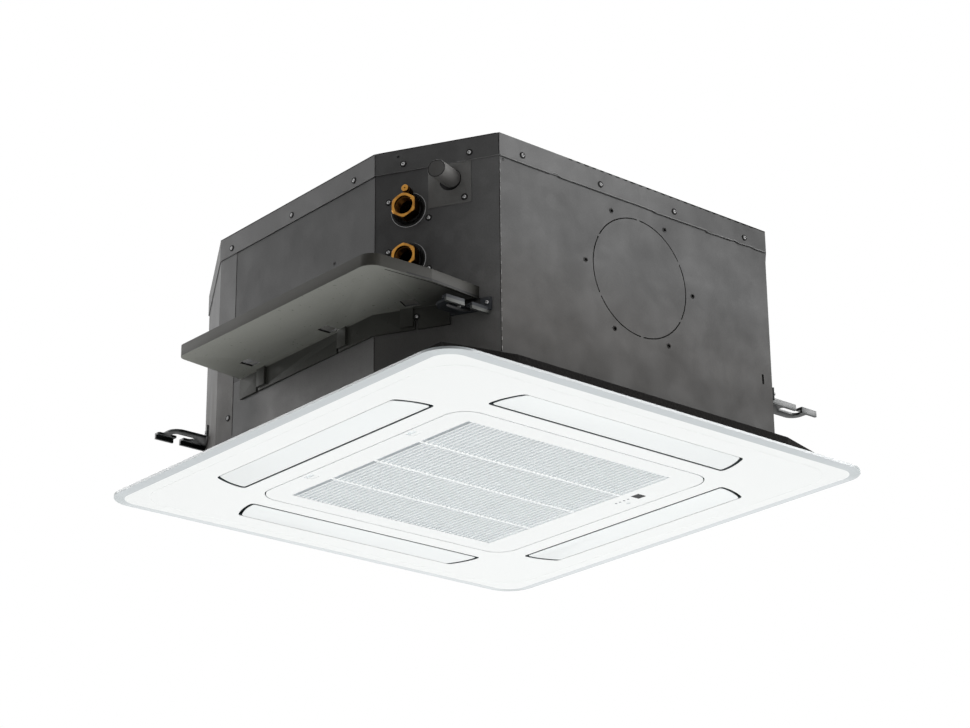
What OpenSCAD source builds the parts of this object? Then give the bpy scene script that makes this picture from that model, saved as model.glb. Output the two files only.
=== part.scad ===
// Ceiling cassette fan coil unit, compact class, in millimetres.
// Z is up. The origin is the centre of the four hanger slots, on the underside
// of the hanger plates. The pipe corner of the casing points to -X and -Y.

/* [Casing] */
// Width of the casing across its flats, the same both ways
body_w = 575; // [560:1:600]
// Height of the casing, from the underside of the drain pan to the top cover
body_h = 261; // [255:1:300]
// Thickness of the galvanised sheet
sheet_t = 1.2; // [0.8:0.1:2]
// Length that the pipe corner takes off the left face
pipe_cut_y = 128; // [122:1:136]
// Length that the pipe corner takes off the front face
pipe_cut_x = 71; // [66:1:80]
// Length that the two other corners take off each face
far_cut = 90; // [80:1:96]
// Length that the left corner takes off the left face
left_cut_y = 148; // [144:1:152]
// Length that the left corner takes off the back face
left_cut_x = 84; // [80:1:88]
// Height of the top cover's turned-down skirt
skirt_h = 27; // [22:1:34]
// Place of the upright joint in the left face
joint_y = 106; // [90:1:125]
// Depth of the foam lip that shows under the side plates
pan_lip = 2; // [1.5:0.5:4]
// Radius of the casing screws' heads
screw_head_r = 3.6; // [3:0.1:4.5]
// Radius of the casing screws' shanks
screw_r = 2; // [1.5:0.1:2.4]

/* [Hanging] */
// Height of the hanger plates above the panel's face
hang_h = 79; // [72:1:86]
// Distance between the hanger slots along X
slot_pitch_x = 506; // [500:1:510]
// Distance between the hanger slots along Y
slot_pitch_y = 523; // [516:1:530]
// Width of a hanger slot
slot_w = 12; // [10.5:0.5:13]
// End-to-end length of a hanger slot
slot_l = 32; // [26:1:34]
// Width of the side entry into a hanger slot
slot_entry = 10; // [8:0.5:11]
// Thickness of the hanger plates
hanger_t = 3; // [2:0.5:4]
// Drop of the hangers' turned lips
hanger_lip = 4.5; // [3.5:0.5:7]

/* [Fresh air knock-out] */
// Radius of the knock-out disc
knock_r = 72; // [60:1:75]
// Circle of the six duct holes
knock_pcd = 165; // [158:1:170]
// Radius of a duct hole
knock_hole_r = 2; // [1.5:0.1:3]
// Place of the knock-out along X
knock_x = -10; // [-30:1:20]
// Height of the knock-out above the panel's face
knock_h = 170; // [155:1:172]
// Width of the cut line round the disc
knock_gap = 1.4; // [0.8:0.1:2]

/* [Water and drain] */
// Distance of the unions from the start of the pipe corner
union_t = 40; // [36:1:46]
// Height of the upper union above the panel's face
union_h = 212; // [206:1:214]
// Distance between the two unions
union_pitch = 60; // [56:1:62]
// Width across the flats of a union
union_af = 27; // [26:0.5:28.5]
// Radius of a union's bore, the core of a G 1/2 thread
union_bore_r = 9.3; // [9:0.05:9.8]
// Length of a union's hexagon
union_l = 14; // [10:1:20]
// Outer radius of the tail behind a union
tail_r = 11; // [9:0.5:12]
// Radius of the casing hole at a union
grommet_r = 18.7; // [17:0.1:20]
// Distance of the drain stub from the start of the pipe corner
drain_t = 89.5; // [86:0.5:92]
// Drop of the drain stub below the top cover's skirt
drain_drop = 20; // [17:0.5:26]
// Outer radius of the drain stub
drain_r = 10.5; // [8:0.5:12.5]
// Wall of the drain stub
drain_wall = 2; // [1.5:0.1:3]
// Length of the drain stub outside its plate
drain_l = 40; // [25:1:50]

/* [Drip tray] */
// Height of the tray's underside above the panel's face
tray_h = 94; // [88:1:98]
// Distance from the casing's left face to the tray's outer edge
tray_out = 90; // [75:1:96]
// Place of the tray's left end
tray_end_y = 89.5; // [84:0.5:98]
// Place of the tray's near edge, measured from the centre
tray_near_y = 267; // [262:1:275]
// Height of the tray's rim
tray_rim = 14; // [10:1:20]
// Wall of the tray
tray_wall = 2.5; // [2:0.1:3.5]
// Height of the skirt that hangs below the tray
tray_skirt = 25; // [20:1:30]

/* [Panel] */
// Width of the panel, the same both ways
panel_w = 648; // [640:1:680]
// Corner radius of the panel
panel_r = 38; // [25:1:50]
// Thickness of the panel's face
face_t = 3; // [2.5:0.1:3.5]
// Width of the bevel round the face
bevel_w = 13; // [8:1:18]
// Rise of the bevel
bevel_h = 1; // [0.5:0.1:1.5]
// Height of the panel's outer rim
rim_h = 3.8; // [3.7:0.1:6]
// Height of the panel with its duct foam
panel_h = 25.5; // [25:0.5:32]
// Width of the duct foam outside the front and back outlets, which shows as a dark band
foam_w = 31; // [24:1:38]
// Width of the duct foam outside the left and right outlets
foam_side_w = 21; // [16:1:28]
// Length cut off the duct foam's corners along X
foam_cut_x = 85; // [75:1:92]
// Length cut off the duct foam's corners along Y
foam_cut_y = 23; // [18:1:28]
// Half width of the air passage behind the grille
intake_half = 214.5; // [214:0.5:215]

/* [Grille] */
// Half width of the intake grille
grille_half = 191.5; // [190.5:0.5:192.5]
// Corner radius of the grille
grille_r = 28; // [24:1:32]
// Gap between the grille and the panel
grille_gap = 1.6; // [1.5:0.1:2.2]
// Half length of the slat field across the slats
field_x = 153.5; // [140:0.5:154.5]
// Half length of the slat field along the slats
field_y = 164; // [150:1:165]
// Distance that the slat field lies off the centre, away from the display
field_off = 6; // [5:0.5:8]
// Distance from slat to slat
slat_pitch = 6.68; // [6:0.02:9]
// Thickness of a slat
slat_t = 1.8; // [1.4:0.1:2.4]
// Depth of the slats
slat_d = 7; // [6:0.5:8]
// Sideways lean of a slat over its depth
slat_lean = 3.2; // [0:0.1:4]
// Width of the three cross ribs
rib_w = 4; // [2:0.5:5]
// Height of the grille's hinge pins above the face
hinge_h = 5; // [4.8:0.1:5.2]
// Distance of the hinge pins from the edge of the intake
hinge_off = 7; // [6.8:0.1:7.2]
// Radius of the hinge pins
hinge_r = 1.5; // [1.2:0.1:1.8]
// Place of each hinge along Y
hinge_y = 120; // [90:1:140]

/* [Vanes] */
// Distance from the centre to a vane's inner edge
vane_in = 221.5; // [221:0.5:224]
// Width of a vane
vane_w = 44; // [40:0.5:45]
// Half length of a vane
vane_half = 174; // [165:1:175]
// Thickness of a vane
vane_t = 2.5; // [2:0.1:3]
// Gap between a vane and the panel at its inner edge
vane_gap = 3.5; // [3:0.1:3.6]
// Gap between a vane and the panel at its ends
vane_end_gap = 5; // [3:0.1:5.5]
// Depth of the curve at a vane's ends
vane_curve = 13; // [10:0.5:16]
// Distance from a vane's inner edge to its pivot pin
pivot_u = 9; // [8:0.5:12]
// Height of the pivot pins above the face
pivot_h = 7; // [6.5:0.1:8]
// Radius of the pivot pins
pivot_r = 2; // [1.5:0.1:2.5]

/* [Fan and coil] */
// Radius of the impeller
fan_r = 148; // [130:1:155]
// Height of the impeller's blades
blade_h = 104; // [90:1:110]
// Number of blades
blade_n = 7; // [5:1:9]
// Radius of the bell mouth's throat
throat_r = 92; // [80:1:96]
// Radius of the fan motor
motor_r = 48; // [40:1:60]
// Radius of the motor shaft
shaft_r = 6; // [5:0.5:8]
// Half width of the coil, outside
coil_half = 206; // [200:1:208]
// Thickness of the coil
coil_t = 34; // [26:1:36]
// Where the coil ends at the pipe corner, measured from the centre
coil_end = 120; // [110:1:130]

/* [Hidden] */
$fn = 48;

// running clearance of pins, and clearance of loose fits
run_c = 0.06;
fit_c = 0.3;
// overshoot of a cutting shape
eps = 1;

// heights, all from the panel's face
z_face = -hang_h;
z_foam = z_face + panel_h;
z_plate = z_foam + pan_lip;
z_top = z_foam + body_h;
z_skirt = z_top - skirt_h;
plate_top = z_top - sheet_t;

// plan of the casing, anticlockwise
half = body_w / 2;
body_pts = [
    [-half + pipe_cut_x, -half], [half - far_cut, -half], [half, -half + far_cut],
    [half, half - far_cut], [half - far_cut, half], [-half + left_cut_x, half],
    [-half, half - left_cut_y], [-half, -half + pipe_cut_y]];
// the left corner plate reaches this far along the back face
joint_x = -half + left_cut_x + 16;

function unit(v) = v / norm(v);
// moves every side of an anticlockwise outline inwards by d
function inset(p, d) = let (n = len(p)) [
    for (i = [0:n - 1])
        let (e = unit(p[i] - p[(i + n - 1) % n]), f = unit(p[(i + 1) % n] - p[i]),
             m = [-e[1], e[0]], k = [-f[1], f[0]])
        p[i] + (m + k) * d / (1 + m * k)];
// rounds each corner of an outline by its own radius
function arc(a, b, c, r, n) =
    let (u = unit(a - b), v = unit(c - b), w = acos(u * v), o = b + unit(u + v) * r / sin(w / 2),
         s = b + u * r / tan(w / 2) - o, e = b + v * r / tan(w / 2) - o,
         a0 = atan2(s[1], s[0]), da = (atan2(e[1], e[0]) - a0 + 540) % 360 - 180)
    [for (i = [0:n]) o + r * [cos(a0 + da * i / n), sin(a0 + da * i / n)]];
function rounded(p, r, n = 6) = let (k = len(p)) [
    for (i = [0:k - 1]) each
        r[i] <= 0 ? [p[i]] : arc(p[(i + k - 1) % k], p[i], p[(i + 1) % k], r[i], n)];

module slab(z0, z1) { translate([0, 0, z0]) linear_extrude(z1 - z0) children(); }
module round_rect(w, l, r) {
    square([w - 2 * r, l], center = true);
    square([w, l - 2 * r], center = true);
    for (x = [-1, 1], y = [-1, 1]) translate([x * (w / 2 - r), y * (l / 2 - r)]) circle(r);
}
module box(lo, hi) { translate(lo) cube(hi - lo); }
module tube(r, wall, h) {
    difference() {
        cylinder(h = h, r = r);
        translate([0, 0, -eps]) cylinder(h = h + 2 * eps, r = r - wall);
    }
}

// Places on the casing. In each, X runs along the face, Y into the casing, Z is the
// height above the panel's face.
pipe_dir = unit([pipe_cut_x, -pipe_cut_y]);
pipe_len = norm([pipe_cut_x, pipe_cut_y]);
pipe_a = atan2(pipe_dir[1], pipe_dir[0]);
module on_pipe(t, h, d = 0) {
    translate([-half, -half + pipe_cut_y, z_face + h]) rotate([0, 0, pipe_a])
        translate([t, d, 0]) children();
}
module on_left(y, h) { translate([-half, y, z_face + h]) rotate([0, 0, -90]) children(); }
module on_front(x, h) { translate([x, -half, z_face + h]) children(); }
module on_right(y, h) { translate([half, y, z_face + h]) rotate([0, 0, 90]) children(); }
module on_back(x, h) { translate([x, half, z_face + h]) rotate([0, 0, 180]) children(); }
// a round cut or rod along the local Y, from depth d0 to d1
module rod(r, d0, d1) { translate([0, d1, 0]) rotate([90, 0, 0]) cylinder(h = d1 - d0, r = r); }

// screws of the top cover's skirt
lid_screw_h = panel_h + body_h - 18;
module lid_screw_places() {
    for (y = [116, -4, -122]) on_left(y, lid_screw_h) children();
    for (t = [34, 112]) on_pipe(t, lid_screw_h) children();
    for (x = [-184, -68, 47, 162]) on_front(x, lid_screw_h) children();
    for (y = [-150, 0, 150]) on_right(y, lid_screw_h) children();
    for (x = [-150, 0, 150]) on_back(x, lid_screw_h) children();
}
// screws through one sheet only
module plate_screw_places() {
    on_left(joint_y + 9, 54) children();
    on_left(joint_y + 9, 150) children();
    on_right(120, 54) children();
    on_back(-120, 54) children();
}
// screws beside the unions, on a slanted line through each
union_screw = 27;
union_heights = [union_h, union_h - union_pitch];
module union_screw_places() {
    for (h = union_heights, s = [-1, 1])
        on_pipe(union_t + s * union_screw * cos(29), h - s * union_screw * sin(29)) children();
}
// plate of the drain stub, which reaches up to the top cover's skirt
skirt_low = panel_h + body_h - skirt_h;
drain_h = skirt_low - drain_drop;
drain_plate_t0 = drain_t - 26;
drain_plate_w = 50;
drain_plate_h0 = skirt_low - drain_plate_w;
drain_screw = [drain_t + 16.5, drain_plate_h0 + 6.5];
module drain_screw_place() { on_pipe(drain_screw[0], drain_screw[1]) children(); }

module screw(base, shank) {
    rod(screw_head_r, base - 1.8, base);
    rod(screw_r, base - 0.5, base + shank);
}
module screw_hole() { rod(screw_r + run_c, -4 * sheet_t, 4 * sheet_t); }

module case_holes() {
    lid_screw_places() screw_hole();
    plate_screw_places() screw_hole();
}
module pipe_holes() {
    union_screw_places() screw_hole();
    drain_screw_place() screw_hole();
    for (h = union_heights) on_pipe(union_t, h) rod(grommet_r + fit_c, -eps, 20);
    on_pipe(drain_t, drain_h) rod(drain_r + 5, -eps, 20);
}

// one upright plate of the casing, between corners i and j of an outline
module plate(p, i, j, z0, z1) {
    q = inset(p, sheet_t);
    slab(z0, z1) polygon([p[i], p[j], q[j], q[i]]);
}

module side_left() {
    color("#56534f") difference() {
        plate(body_pts, 6, 7, z_plate, plate_top);
        box([-half - eps, joint_y, z_plate - eps], [-half + 9, half, z_top]);
        case_holes();
        hanger_screw_places() screw_hole();
        on_left(-86, 180) rod(2, -eps, 3);
    }
}

module side_front() {
    color("#605e5d") difference() {
        plate(body_pts, 0, 1, z_plate, plate_top);
        case_holes();
        on_front(knock_x, knock_h) {
            // six stretches of cut line, held by narrow ties
            difference() {
                rod(knock_r, -eps, sheet_t + eps);
                rod(knock_r - knock_gap, -2 * eps, sheet_t + 2 * eps);
                for (a = [30:60:360]) rotate([0, a, 0]) box([0, -3, -2], [knock_r + 9, 5, 2]);
            }
            for (a = [0:60:300])
                rotate([0, a, 0]) translate([knock_pcd / 2, 0, 0]) rod(knock_hole_r, -eps, 3);
        }
        // upright slot near the right end
        on_front(half - far_cut - 15, 95) box([-1.5, -eps, -6], [1.5, 3, 6]);
    }
}

module side_right() {
    color("#56534f") difference() {
        plate(body_pts, 2, 3, z_plate, plate_top);
        case_holes();
        on_right(0, cable_h) rod(cable_r + 3 + fit_c, -eps, 20);
    }
}

module side_back() {
    color("#605e5d") difference() {
        plate(body_pts, 4, 5, z_plate, plate_top);
        box([-half, half - 9, z_plate - eps], [joint_x, half + eps, z_top]);
        case_holes();
    }
}

module corner_pipe() {
    color("#3e3d3c") difference() {
        plate(body_pts, 7, 0, z_plate, plate_top);
        case_holes();
        pipe_holes();
        hanger_screw_places() screw_hole();
        tray_screw_places() tray_screw_hole();
    }
}

left_in = inset(body_pts, sheet_t);
module corner_left() {
    color("#5b5956") difference() {
        union() {
            // the plate and its strips, bent over on the two faces beside the corner
            slab(z_plate, plate_top) polygon(concat(
                [[joint_x, half], body_pts[5], body_pts[6], [-half, joint_y]],
                [[-half + sheet_t, joint_y], left_in[6], left_in[5], [joint_x, half - sheet_t]]));
        }
        case_holes();
        hanger_screw_places() screw_hole();
    }
}

module corner_right() {
    color("#56534f") difference() {
        plate(body_pts, 1, 2, z_plate, plate_top);
        hanger_screw_places() screw_hole();
    }
}

module corner_far() {
    color("#56534f") difference() {
        plate(body_pts, 3, 4, z_plate, plate_top);
        hanger_screw_places() screw_hole();
    }
}

module top_cover() {
    color("#4f4d4b") difference() {
        slab(z_skirt, z_top) polygon(inset(body_pts, -sheet_t));
        slab(z_skirt - eps, plate_top) polygon(body_pts);
        case_holes();
        on_pipe(28, panel_h + body_h - 8.5) rod(1.5, -9, 0.5);
    }
}

// foam inside the plates and under the top cover
liner_t = 12;
liner_d = sheet_t + 0.3;
liner_h = 62;
z_liner = z_face + liner_h;
z_under = plate_top - liner_t;
module case_liner() {
    color("#2a2a2a") difference() {
        slab(z_liner, plate_top) polygon(inset(body_pts, liner_d));
        slab(z_liner - eps, z_under) polygon(inset(body_pts, liner_d + liner_t));
        for (h = union_heights) on_pipe(union_t, h) rod(grommet_r + 2, -9, 60);
        on_pipe(drain_t, drain_h) rod(drain_r + 6, -9, 60);
        on_right(0, cable_h) rod(cable_r + 8, -9, 40);
        // seat of the motor mount
        slab(z_under - eps, z_under + mount_t)
            round_rect(mount_w + 2, mount_w + 2, mount_r + 1);
    }
}

// Hanger brackets, drawn in the +X +Y quarter and mirrored into place.
module quarter(sx, sy) {
    mirror([sx < 0 ? 1 : 0, 0, 0]) mirror([0, sy < 0 ? 1 : 0, 0]) children();
}
slot_x = slot_pitch_x / 2;
slot_y = slot_pitch_y / 2;
hang_in = slot_y - 17.5;
hang_out = slot_y + 15.5;
hang_tip = slot_x + 24;
// where the corner plate lies at the level y, for a corner that cuts cx by cy
function cut_x(y, cx, cy) = half - cx * (y - half + cy) / cy;
// the bracket beside the tray stays just under its floor
hang_flange = tray_h - hang_h - 0.5;
module hanger(cx, cy) {
    a = [cut_x(hang_in, cx, cy), hang_in];
    b = [cut_x(hang_out, cx, cy), hang_out];
    u = unit(b - a);
    n = [-u[1], u[0]] * -1;
    difference() {
        union() {
            slab(0, hanger_t) polygon(rounded(
                [a, [hang_tip, hang_in], [hang_tip, hang_out - 9], [hang_tip + 6, hang_out - 9],
                 [hang_tip + 6, hang_out], b], [0, 14, 0, 3, 3, 0]));
            slab(-hanger_lip, hanger_t)
                polygon([[cut_x(hang_out - hanger_t, cx, cy) + 0.5, hang_out - hanger_t],
                         [hang_tip + 6, hang_out - hanger_t],
                         [hang_tip + 6, hang_out], b + [0.5, 0]]);
            slab(0, hang_flange)
                polygon([a - 7 * u, b + 2 * u, b + 2 * u + 2.5 * n, a - 7 * u + 2.5 * n]);
        }
        translate([slot_x, slot_y, 0]) {
            slab(-eps, hanger_t + eps) square([slot_l - slot_w, slot_w], center = true);
            for (s = [-1, 1]) translate([s * (slot_l - slot_w) / 2, 0, -eps])
                cylinder(h = hanger_t + 2 * eps, r = slot_w / 2);
            slab(-hanger_lip - eps, hanger_t + eps)
                translate([-slot_entry / 2, 0]) square([slot_entry, 30]);
        }
        hanger_screws_local(cx, cy) rod(screw_r + run_c, -9, 9);
    }
}
// the two screws of a bracket, in the same quarter
module hanger_screws_local(cx, cy) {
    a = [cut_x(hang_in, cx, cy), hang_in];
    b = [cut_x(hang_out, cx, cy), hang_out];
    u = unit(b - a);
    for (p = [a + 3 * u, b - 3 * u])
        translate([p[0], p[1], hang_flange / 2 + 1]) rotate([0, 0, atan2(u[1], u[0])]) children();
}
module hanger_screw_places() {
    quarter(-1, -1) hanger_screws_local(pipe_cut_x, pipe_cut_y) children();
    quarter(-1, 1) hanger_screws_local(left_cut_x, left_cut_y) children();
    for (sy = [-1, 1]) quarter(1, sy) hanger_screws_local(far_cut, far_cut) children();
}
module hanger_pipe() { color("#3a3f40") quarter(-1, -1) hanger(pipe_cut_x, pipe_cut_y); }
module hanger_left() { color("#2e3333") quarter(-1, 1) hanger(left_cut_x, left_cut_y); }
module hanger_right() { color("#2e3333") quarter(1, -1) hanger(far_cut, far_cut); }
module hanger_far() { color("#2e3333") quarter(1, 1) hanger(far_cut, far_cut); }

module case_screws() {
    color("#8c8f90") {
        lid_screw_places() screw(-sheet_t, 2 * sheet_t - 0.2);
        plate_screw_places() screw(0, sheet_t - 0.1);
        union_screw_places() screw(0, sheet_t - 0.1);
        drain_screw_place() screw(-sheet_t, 2 * sheet_t - 0.2);
        hanger_screw_places() screw(-2.5, 2.5 + sheet_t - 0.2);
    }
}

// depth of the headers behind the pipe corner
header_d = 78;
header_r = 11;
module union_piece(h, bleed) {
    on_pipe(union_t, h) difference() {
        union() {
            rotate([90, 0, 0]) translate([0, 0, 1.8]) rotate([0, 0, 30])
                cylinder(h = union_l, r = union_af / 2 / cos(30), $fn = 6);
            rod(tail_r, -2, header_d - header_r - fit_c);
            if (bleed) {
                translate([bleed_t, 0, bleed_z]) rod(4.6, -union_l + 1, -3);
                box([bleed_t - 3, -union_l + 2, 10], [bleed_t + 3, -4, bleed_z]);
            }
        }
        rod(union_bore_r, -union_l - 9, -2);
        // widened mouth
        rod(mouth_r, -union_l - 9, -union_l + 1.6);
        rod(tail_r - 1.2, -2.2, header_d);
        if (bleed) translate([bleed_t, 0, bleed_z]) rod(2.5 + run_c, -union_l - 9, -5);
    }
}
mouth_r = 10.7;
// the air bleed on top of the upper union
bleed_t = 2;
bleed_z = union_af / 2 / cos(30) + 4;
module union_upper() { color("#b07a2a") union_piece(union_h, true); }
module union_lower() { color("#b07a2a") union_piece(union_h - union_pitch, false); }
module bleed_screw() {
    color("#a98b4a") on_pipe(union_t, union_h) translate([bleed_t, 0, bleed_z]) difference() {
        union() {
            rod(2.5, -union_l, -5.5);
            rod(4, -union_l - 2.5, -union_l + 0.7);
        }
        box([-3.5, -union_l - 4, -0.5], [3.5, -union_l - 1.5, 0.5]);
    }
}

module pipe_grommets() {
    color("#161616") for (h = union_heights) on_pipe(union_t, h) difference() {
        union() {
            rod(grommet_r, -1.5, 10);
            rod(grommet_r + 1.6, -1.5, -0.05);
        }
        rod(tail_r + fit_c, -9, 20);
    }
}

module drain_plate() {
    color("#454342") difference() {
        on_pipe(drain_plate_t0, drain_plate_h0)
            box([0, -sheet_t, 0], [drain_plate_w, 0, drain_plate_w]);
        drain_screw_place() screw_hole();
        on_pipe(drain_t, drain_h) rod(drain_r + drain_gap, -9, 9);
    }
}
// ring of air round the stub in its plate
drain_gap = 2.2;
// The stub's collar bears on the plate from behind. Its mouth is still closed by a web.
module drain_stub() {
    color("#4a4947") on_pipe(drain_t, drain_h) difference() {
        union() {
            rod(drain_r, -sheet_t - drain_l, eps);
            rod(drain_r + 1, 1 - eps, 9);
            rod(drain_r + drain_gap + 2, 0, 1);
        }
        rod(drain_r - drain_wall, -sheet_t - drain_l + drain_web, 20);
    }
}
drain_web = 1.5;

// Drip tray. Its outline follows the left face and the pipe corner.
tray_pts = [
    [-half, -half + pipe_cut_y],
    [-half, tray_end_y],
    [-half - tray_out - 5, tray_end_y - 12],
    [-half - tray_out, -tray_near_y],
    [-half - 10, -tray_near_y - 4],
    [-cut_x(tray_near_y - 1, pipe_cut_x, pipe_cut_y), -tray_near_y + 1]];
tray_corner_r = [0, 0, 9, 16, 10, 0];
function tray_outline(d) =
    rounded(inset(tray_pts, d), [for (r = tray_corner_r) r > 0 ? r - d : 0], 5);
// pads of the skirt on the left face, and the one on the pipe corner
tray_pads_y = [44, -108];
tray_pad_t = 40;
pad_w = 15;
pad_d = 6;
skirt_d = 2.5;
tray_skirt_t = 89;
// slots beside the pads, open below; the one on the pipe corner holds a screw
key_w = 3.6;
key_head_r = 3;
key_x = pad_w / 2 + key_head_r + 0.1;
key_h = 10.6;
key_r = key_w / 2 - 0.15;
// holes in the floor: place along the face, distance out of it
floor_left = [[40, 23], [-95, 14]];
floor_pipe = [48, 16];
floor_hole = 12;
module skirt_pad() { box([-pad_w / 2, -pad_d, -tray_skirt + 3], [pad_w / 2, -1, 0.5]); }
module skirt_slot(s) {
    translate([s * key_x, 0, -key_h]) {
        rod(key_w / 2, -9, 1);
        box([-key_w / 2, -9, -tray_skirt], [key_w / 2, 1, 0]);
    }
}
module floor_cut(d) {
    translate([-floor_hole / 2, -d - floor_hole / 2, -eps])
        cube([floor_hole, floor_hole, tray_wall + 2 * eps]);
}
module tray_screw_places() {
    on_pipe(tray_pad_t + key_x, tray_h - key_h) children();
}
module tray_screw_hole() { rod(key_r + run_c, -9, 9); }
module drip_tray() {
    zt = z_face + tray_h;
    left_l = tray_end_y + half - pipe_cut_y;
    color("#6b6c66") difference() {
        union() {
            slab(zt, zt + tray_rim) polygon(tray_outline(0));
            // skirt against the left face and the pipe corner
            slab(zt - tray_skirt, zt + tray_wall) difference() {
                polygon(inset(body_pts, -skirt_d));
                polygon(body_pts);
                translate([-half - 9, tray_end_y]) square(body_w + 20);
                translate([-half + 0.6 * pipe_cut_x, -half - 9]) square(body_w + 20);
                translate([-half, -half + pipe_cut_y]) rotate([0, 0, pipe_a])
                    translate([tray_skirt_t, -50]) square([200, 200]);
            }
            for (y = tray_pads_y) on_left(y, tray_h) skirt_pad();
            on_pipe(tray_pad_t, tray_h) skirt_pad();
        }
        slab(zt + tray_wall, zt + tray_rim + eps) polygon(tray_outline(tray_wall));
        for (y = tray_pads_y) on_left(y, tray_h) skirt_slot(-1);
        on_pipe(tray_pad_t, tray_h) skirt_slot(1);
        for (f = floor_left) on_left(f[0], tray_h) floor_cut(f[1]);
        on_pipe(floor_pipe[0], tray_h) floor_cut(floor_pipe[1]);
    }
}
module tray_screws() {
    color("#8c8f90") tray_screw_places() {
        rod(key_head_r, -skirt_d - 2.2, -skirt_d);
        rod(key_r, -skirt_d - 1, sheet_t - 0.1);
    }
}

// Drain pan of foam, with the air channels, the coil's trough and the sump.
channel_in = vane_in - 5.5;
channel_out = vane_in + vane_w + 3.5;
channel_half = vane_half;
trough_half = coil_half + 3;
// the trough passes over the control box, with this much foam between them
trough_floor = 1.2;
box_h = 21;
z_trough = z_foam + box_h + fit_c + trough_floor;
pump_d = 45;
pump_r = 20;
float_r = 11;
float_t = drain_t - 34;
float_d = pump_d - 4;
bell_r = throat_r + 18;
bell_t = 2;
bell_lip = 22;
bell_plate = 174;
box_x0 = bell_r + 4;
box_w = 48;
box_half = 130;
box_t = 1.2;
module side_slots(u0, u1, v) {
    for (a = [0:90:270]) rotate([0, 0, a]) translate([u0, -v]) square([u1 - u0, 2 * v]);
}
module drain_pan() {
    color("#1f1f1f") difference() {
        union() {
            slab(z_foam, z_plate) polygon(body_pts);
            slab(z_foam, z_liner) polygon(inset(body_pts, liner_d));
        }
        slab(z_foam - eps, z_liner + eps) side_slots(channel_in, channel_out, channel_half);
        slab(z_trough, z_liner + eps) difference() {
            round_rect(2 * trough_half, 2 * trough_half, 40);
            round_rect(2 * (trough_half - coil_t - 6), 2 * (trough_half - coil_t - 6), 14);
        }
        slab(z_foam - eps, z_liner + eps) circle(bell_r + 0.5);
        // pocket of the control box
        box([box_x0 - fit_c, -box_half - fit_c, z_foam - eps],
            [box_x0 + box_w + fit_c, box_half + fit_c, z_foam + box_h + fit_c]);
        panel_screw_places() translate([0, 0, z_foam - eps]) cylinder(h = 9, r = screw_r + run_c);
        // sump of the drain pump and the float
        on_pipe(drain_t, 0, pump_d) translate([0, 0, 40]) cylinder(h = 40, r = pump_r + 2);
        on_pipe(float_t, 0, float_d) translate([0, 0, 40]) cylinder(h = 40, r = float_r + 2);
    }
}

module bell_mouth() {
    zb = z_foam - bell_t;
    flare = bell_r - throat_r;
    color("#d8d8d4") {
        slab(zb, z_foam) difference() {
            translate([-bell_plate, -bell_plate])
                square([bell_plate + box_x0 - fit_c, 2 * bell_plate]);
            circle(bell_r + 1, $fn = 96);
        }
        // flared inlet, its straight lip and the ring that joins them to the plate
        translate([0, 0, zb]) rotate_extrude($fn = 96) {
            translate([bell_r, flare]) intersection() {
                difference() {
                    circle(flare);
                    circle(flare - bell_t);
                }
                translate([-flare - 1, -flare - 1]) square(flare + 1);
            }
            translate([throat_r, flare]) square([bell_t, bell_lip]);
            translate([bell_r, 0]) square([3, bell_t]);
        }
    }
}

// Coil: fins bent round four sides, open at the pipe corner.
module coil_outline(d) {
    difference() {
        round_rect(2 * coil_half - 2 * d, 2 * coil_half - 2 * d, coil_t + coil_r - d);
        round_rect(2 * (coil_half - coil_t + d), 2 * (coil_half - coil_t + d), coil_r + d);
        translate([-coil_half - eps, -coil_half - eps])
            square([coil_half + eps - coil_end + d, coil_half + eps - coil_end + d]);
    }
}
coil_skin = 2;
// radius of its bends, inside
coil_r = 16;
module coil_fins() {
    color("#b9bdc0") difference() {
        slab(z_trough, z_under) coil_outline(0);
        slab(z_trough + coil_skin, z_under + eps) coil_outline(coil_skin);
    }
}
coil_mid = coil_half - coil_t / 2;
end_t = 1.5;
bend_n = 7;
bend_pitch = 28;
bend_z0 = z_trough + 20;
module coil_tubes() {
    color("#b5703c") {
        // return bends on both end plates
        for (i = [0:bend_n - 1]) {
            translate([-coil_mid + 8, -coil_end - end_t, bend_z0 + i * bend_pitch]) bend();
            translate([-coil_end - end_t, -coil_mid + 8, bend_z0 + i * bend_pitch])
                rotate([0, 0, -90]) bend();
        }
        // headers behind the unions, each with three feeders into the end plate
        for (k = [0, 1]) {
            h = union_heights[k];
            z0 = k == 0 ? h - 24 : z_liner - z_face + fit_c;
            z1 = k == 0 ? z_under - z_face - 2 : h + 20;
            on_pipe(union_t, 0, header_d) {
                translate([0, 0, z0]) cylinder(h = z1 - z0, r = header_r);
            }
            for (f = [0.2, 0.5, 0.8])
                translate([header_p[0], header_p[1], z_face + z0 + f * (z1 - z0)])
                    rotate([-90, 0, 0]) cylinder(h = -coil_end - end_t - header_p[1], r = 4.5);
        }
    }
}
header_p = [-half, -half + pipe_cut_y] + union_t * pipe_dir
    + header_d * [-pipe_dir[1], pipe_dir[0]];
// a return bend that bulges to -Y, with its two ends one above the other
module bend() {
    rotate([180, -90, 0]) rotate_extrude(angle = 180) translate([10, 0]) circle(r = 4.5);
}
module coil_plates() {
    color("#9a9c9d") {
        box([-coil_half, -coil_end - end_t, z_trough], [-coil_half + coil_t, -coil_end, z_under]);
        box([-coil_end - end_t, -coil_half, z_trough], [-coil_end, -coil_half + coil_t, z_under]);
        // baffle that closes the open corner
        a = [-coil_half + coil_t + fit_c, -coil_end - end_t];
        b = [-coil_end - end_t, -coil_half + coil_t + fit_c];
        slab(z_liner + fit_c, z_under - fit_c)
            polygon([a, b, b + [end_t, 0], a + [0, end_t]]);
    }
}

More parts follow.
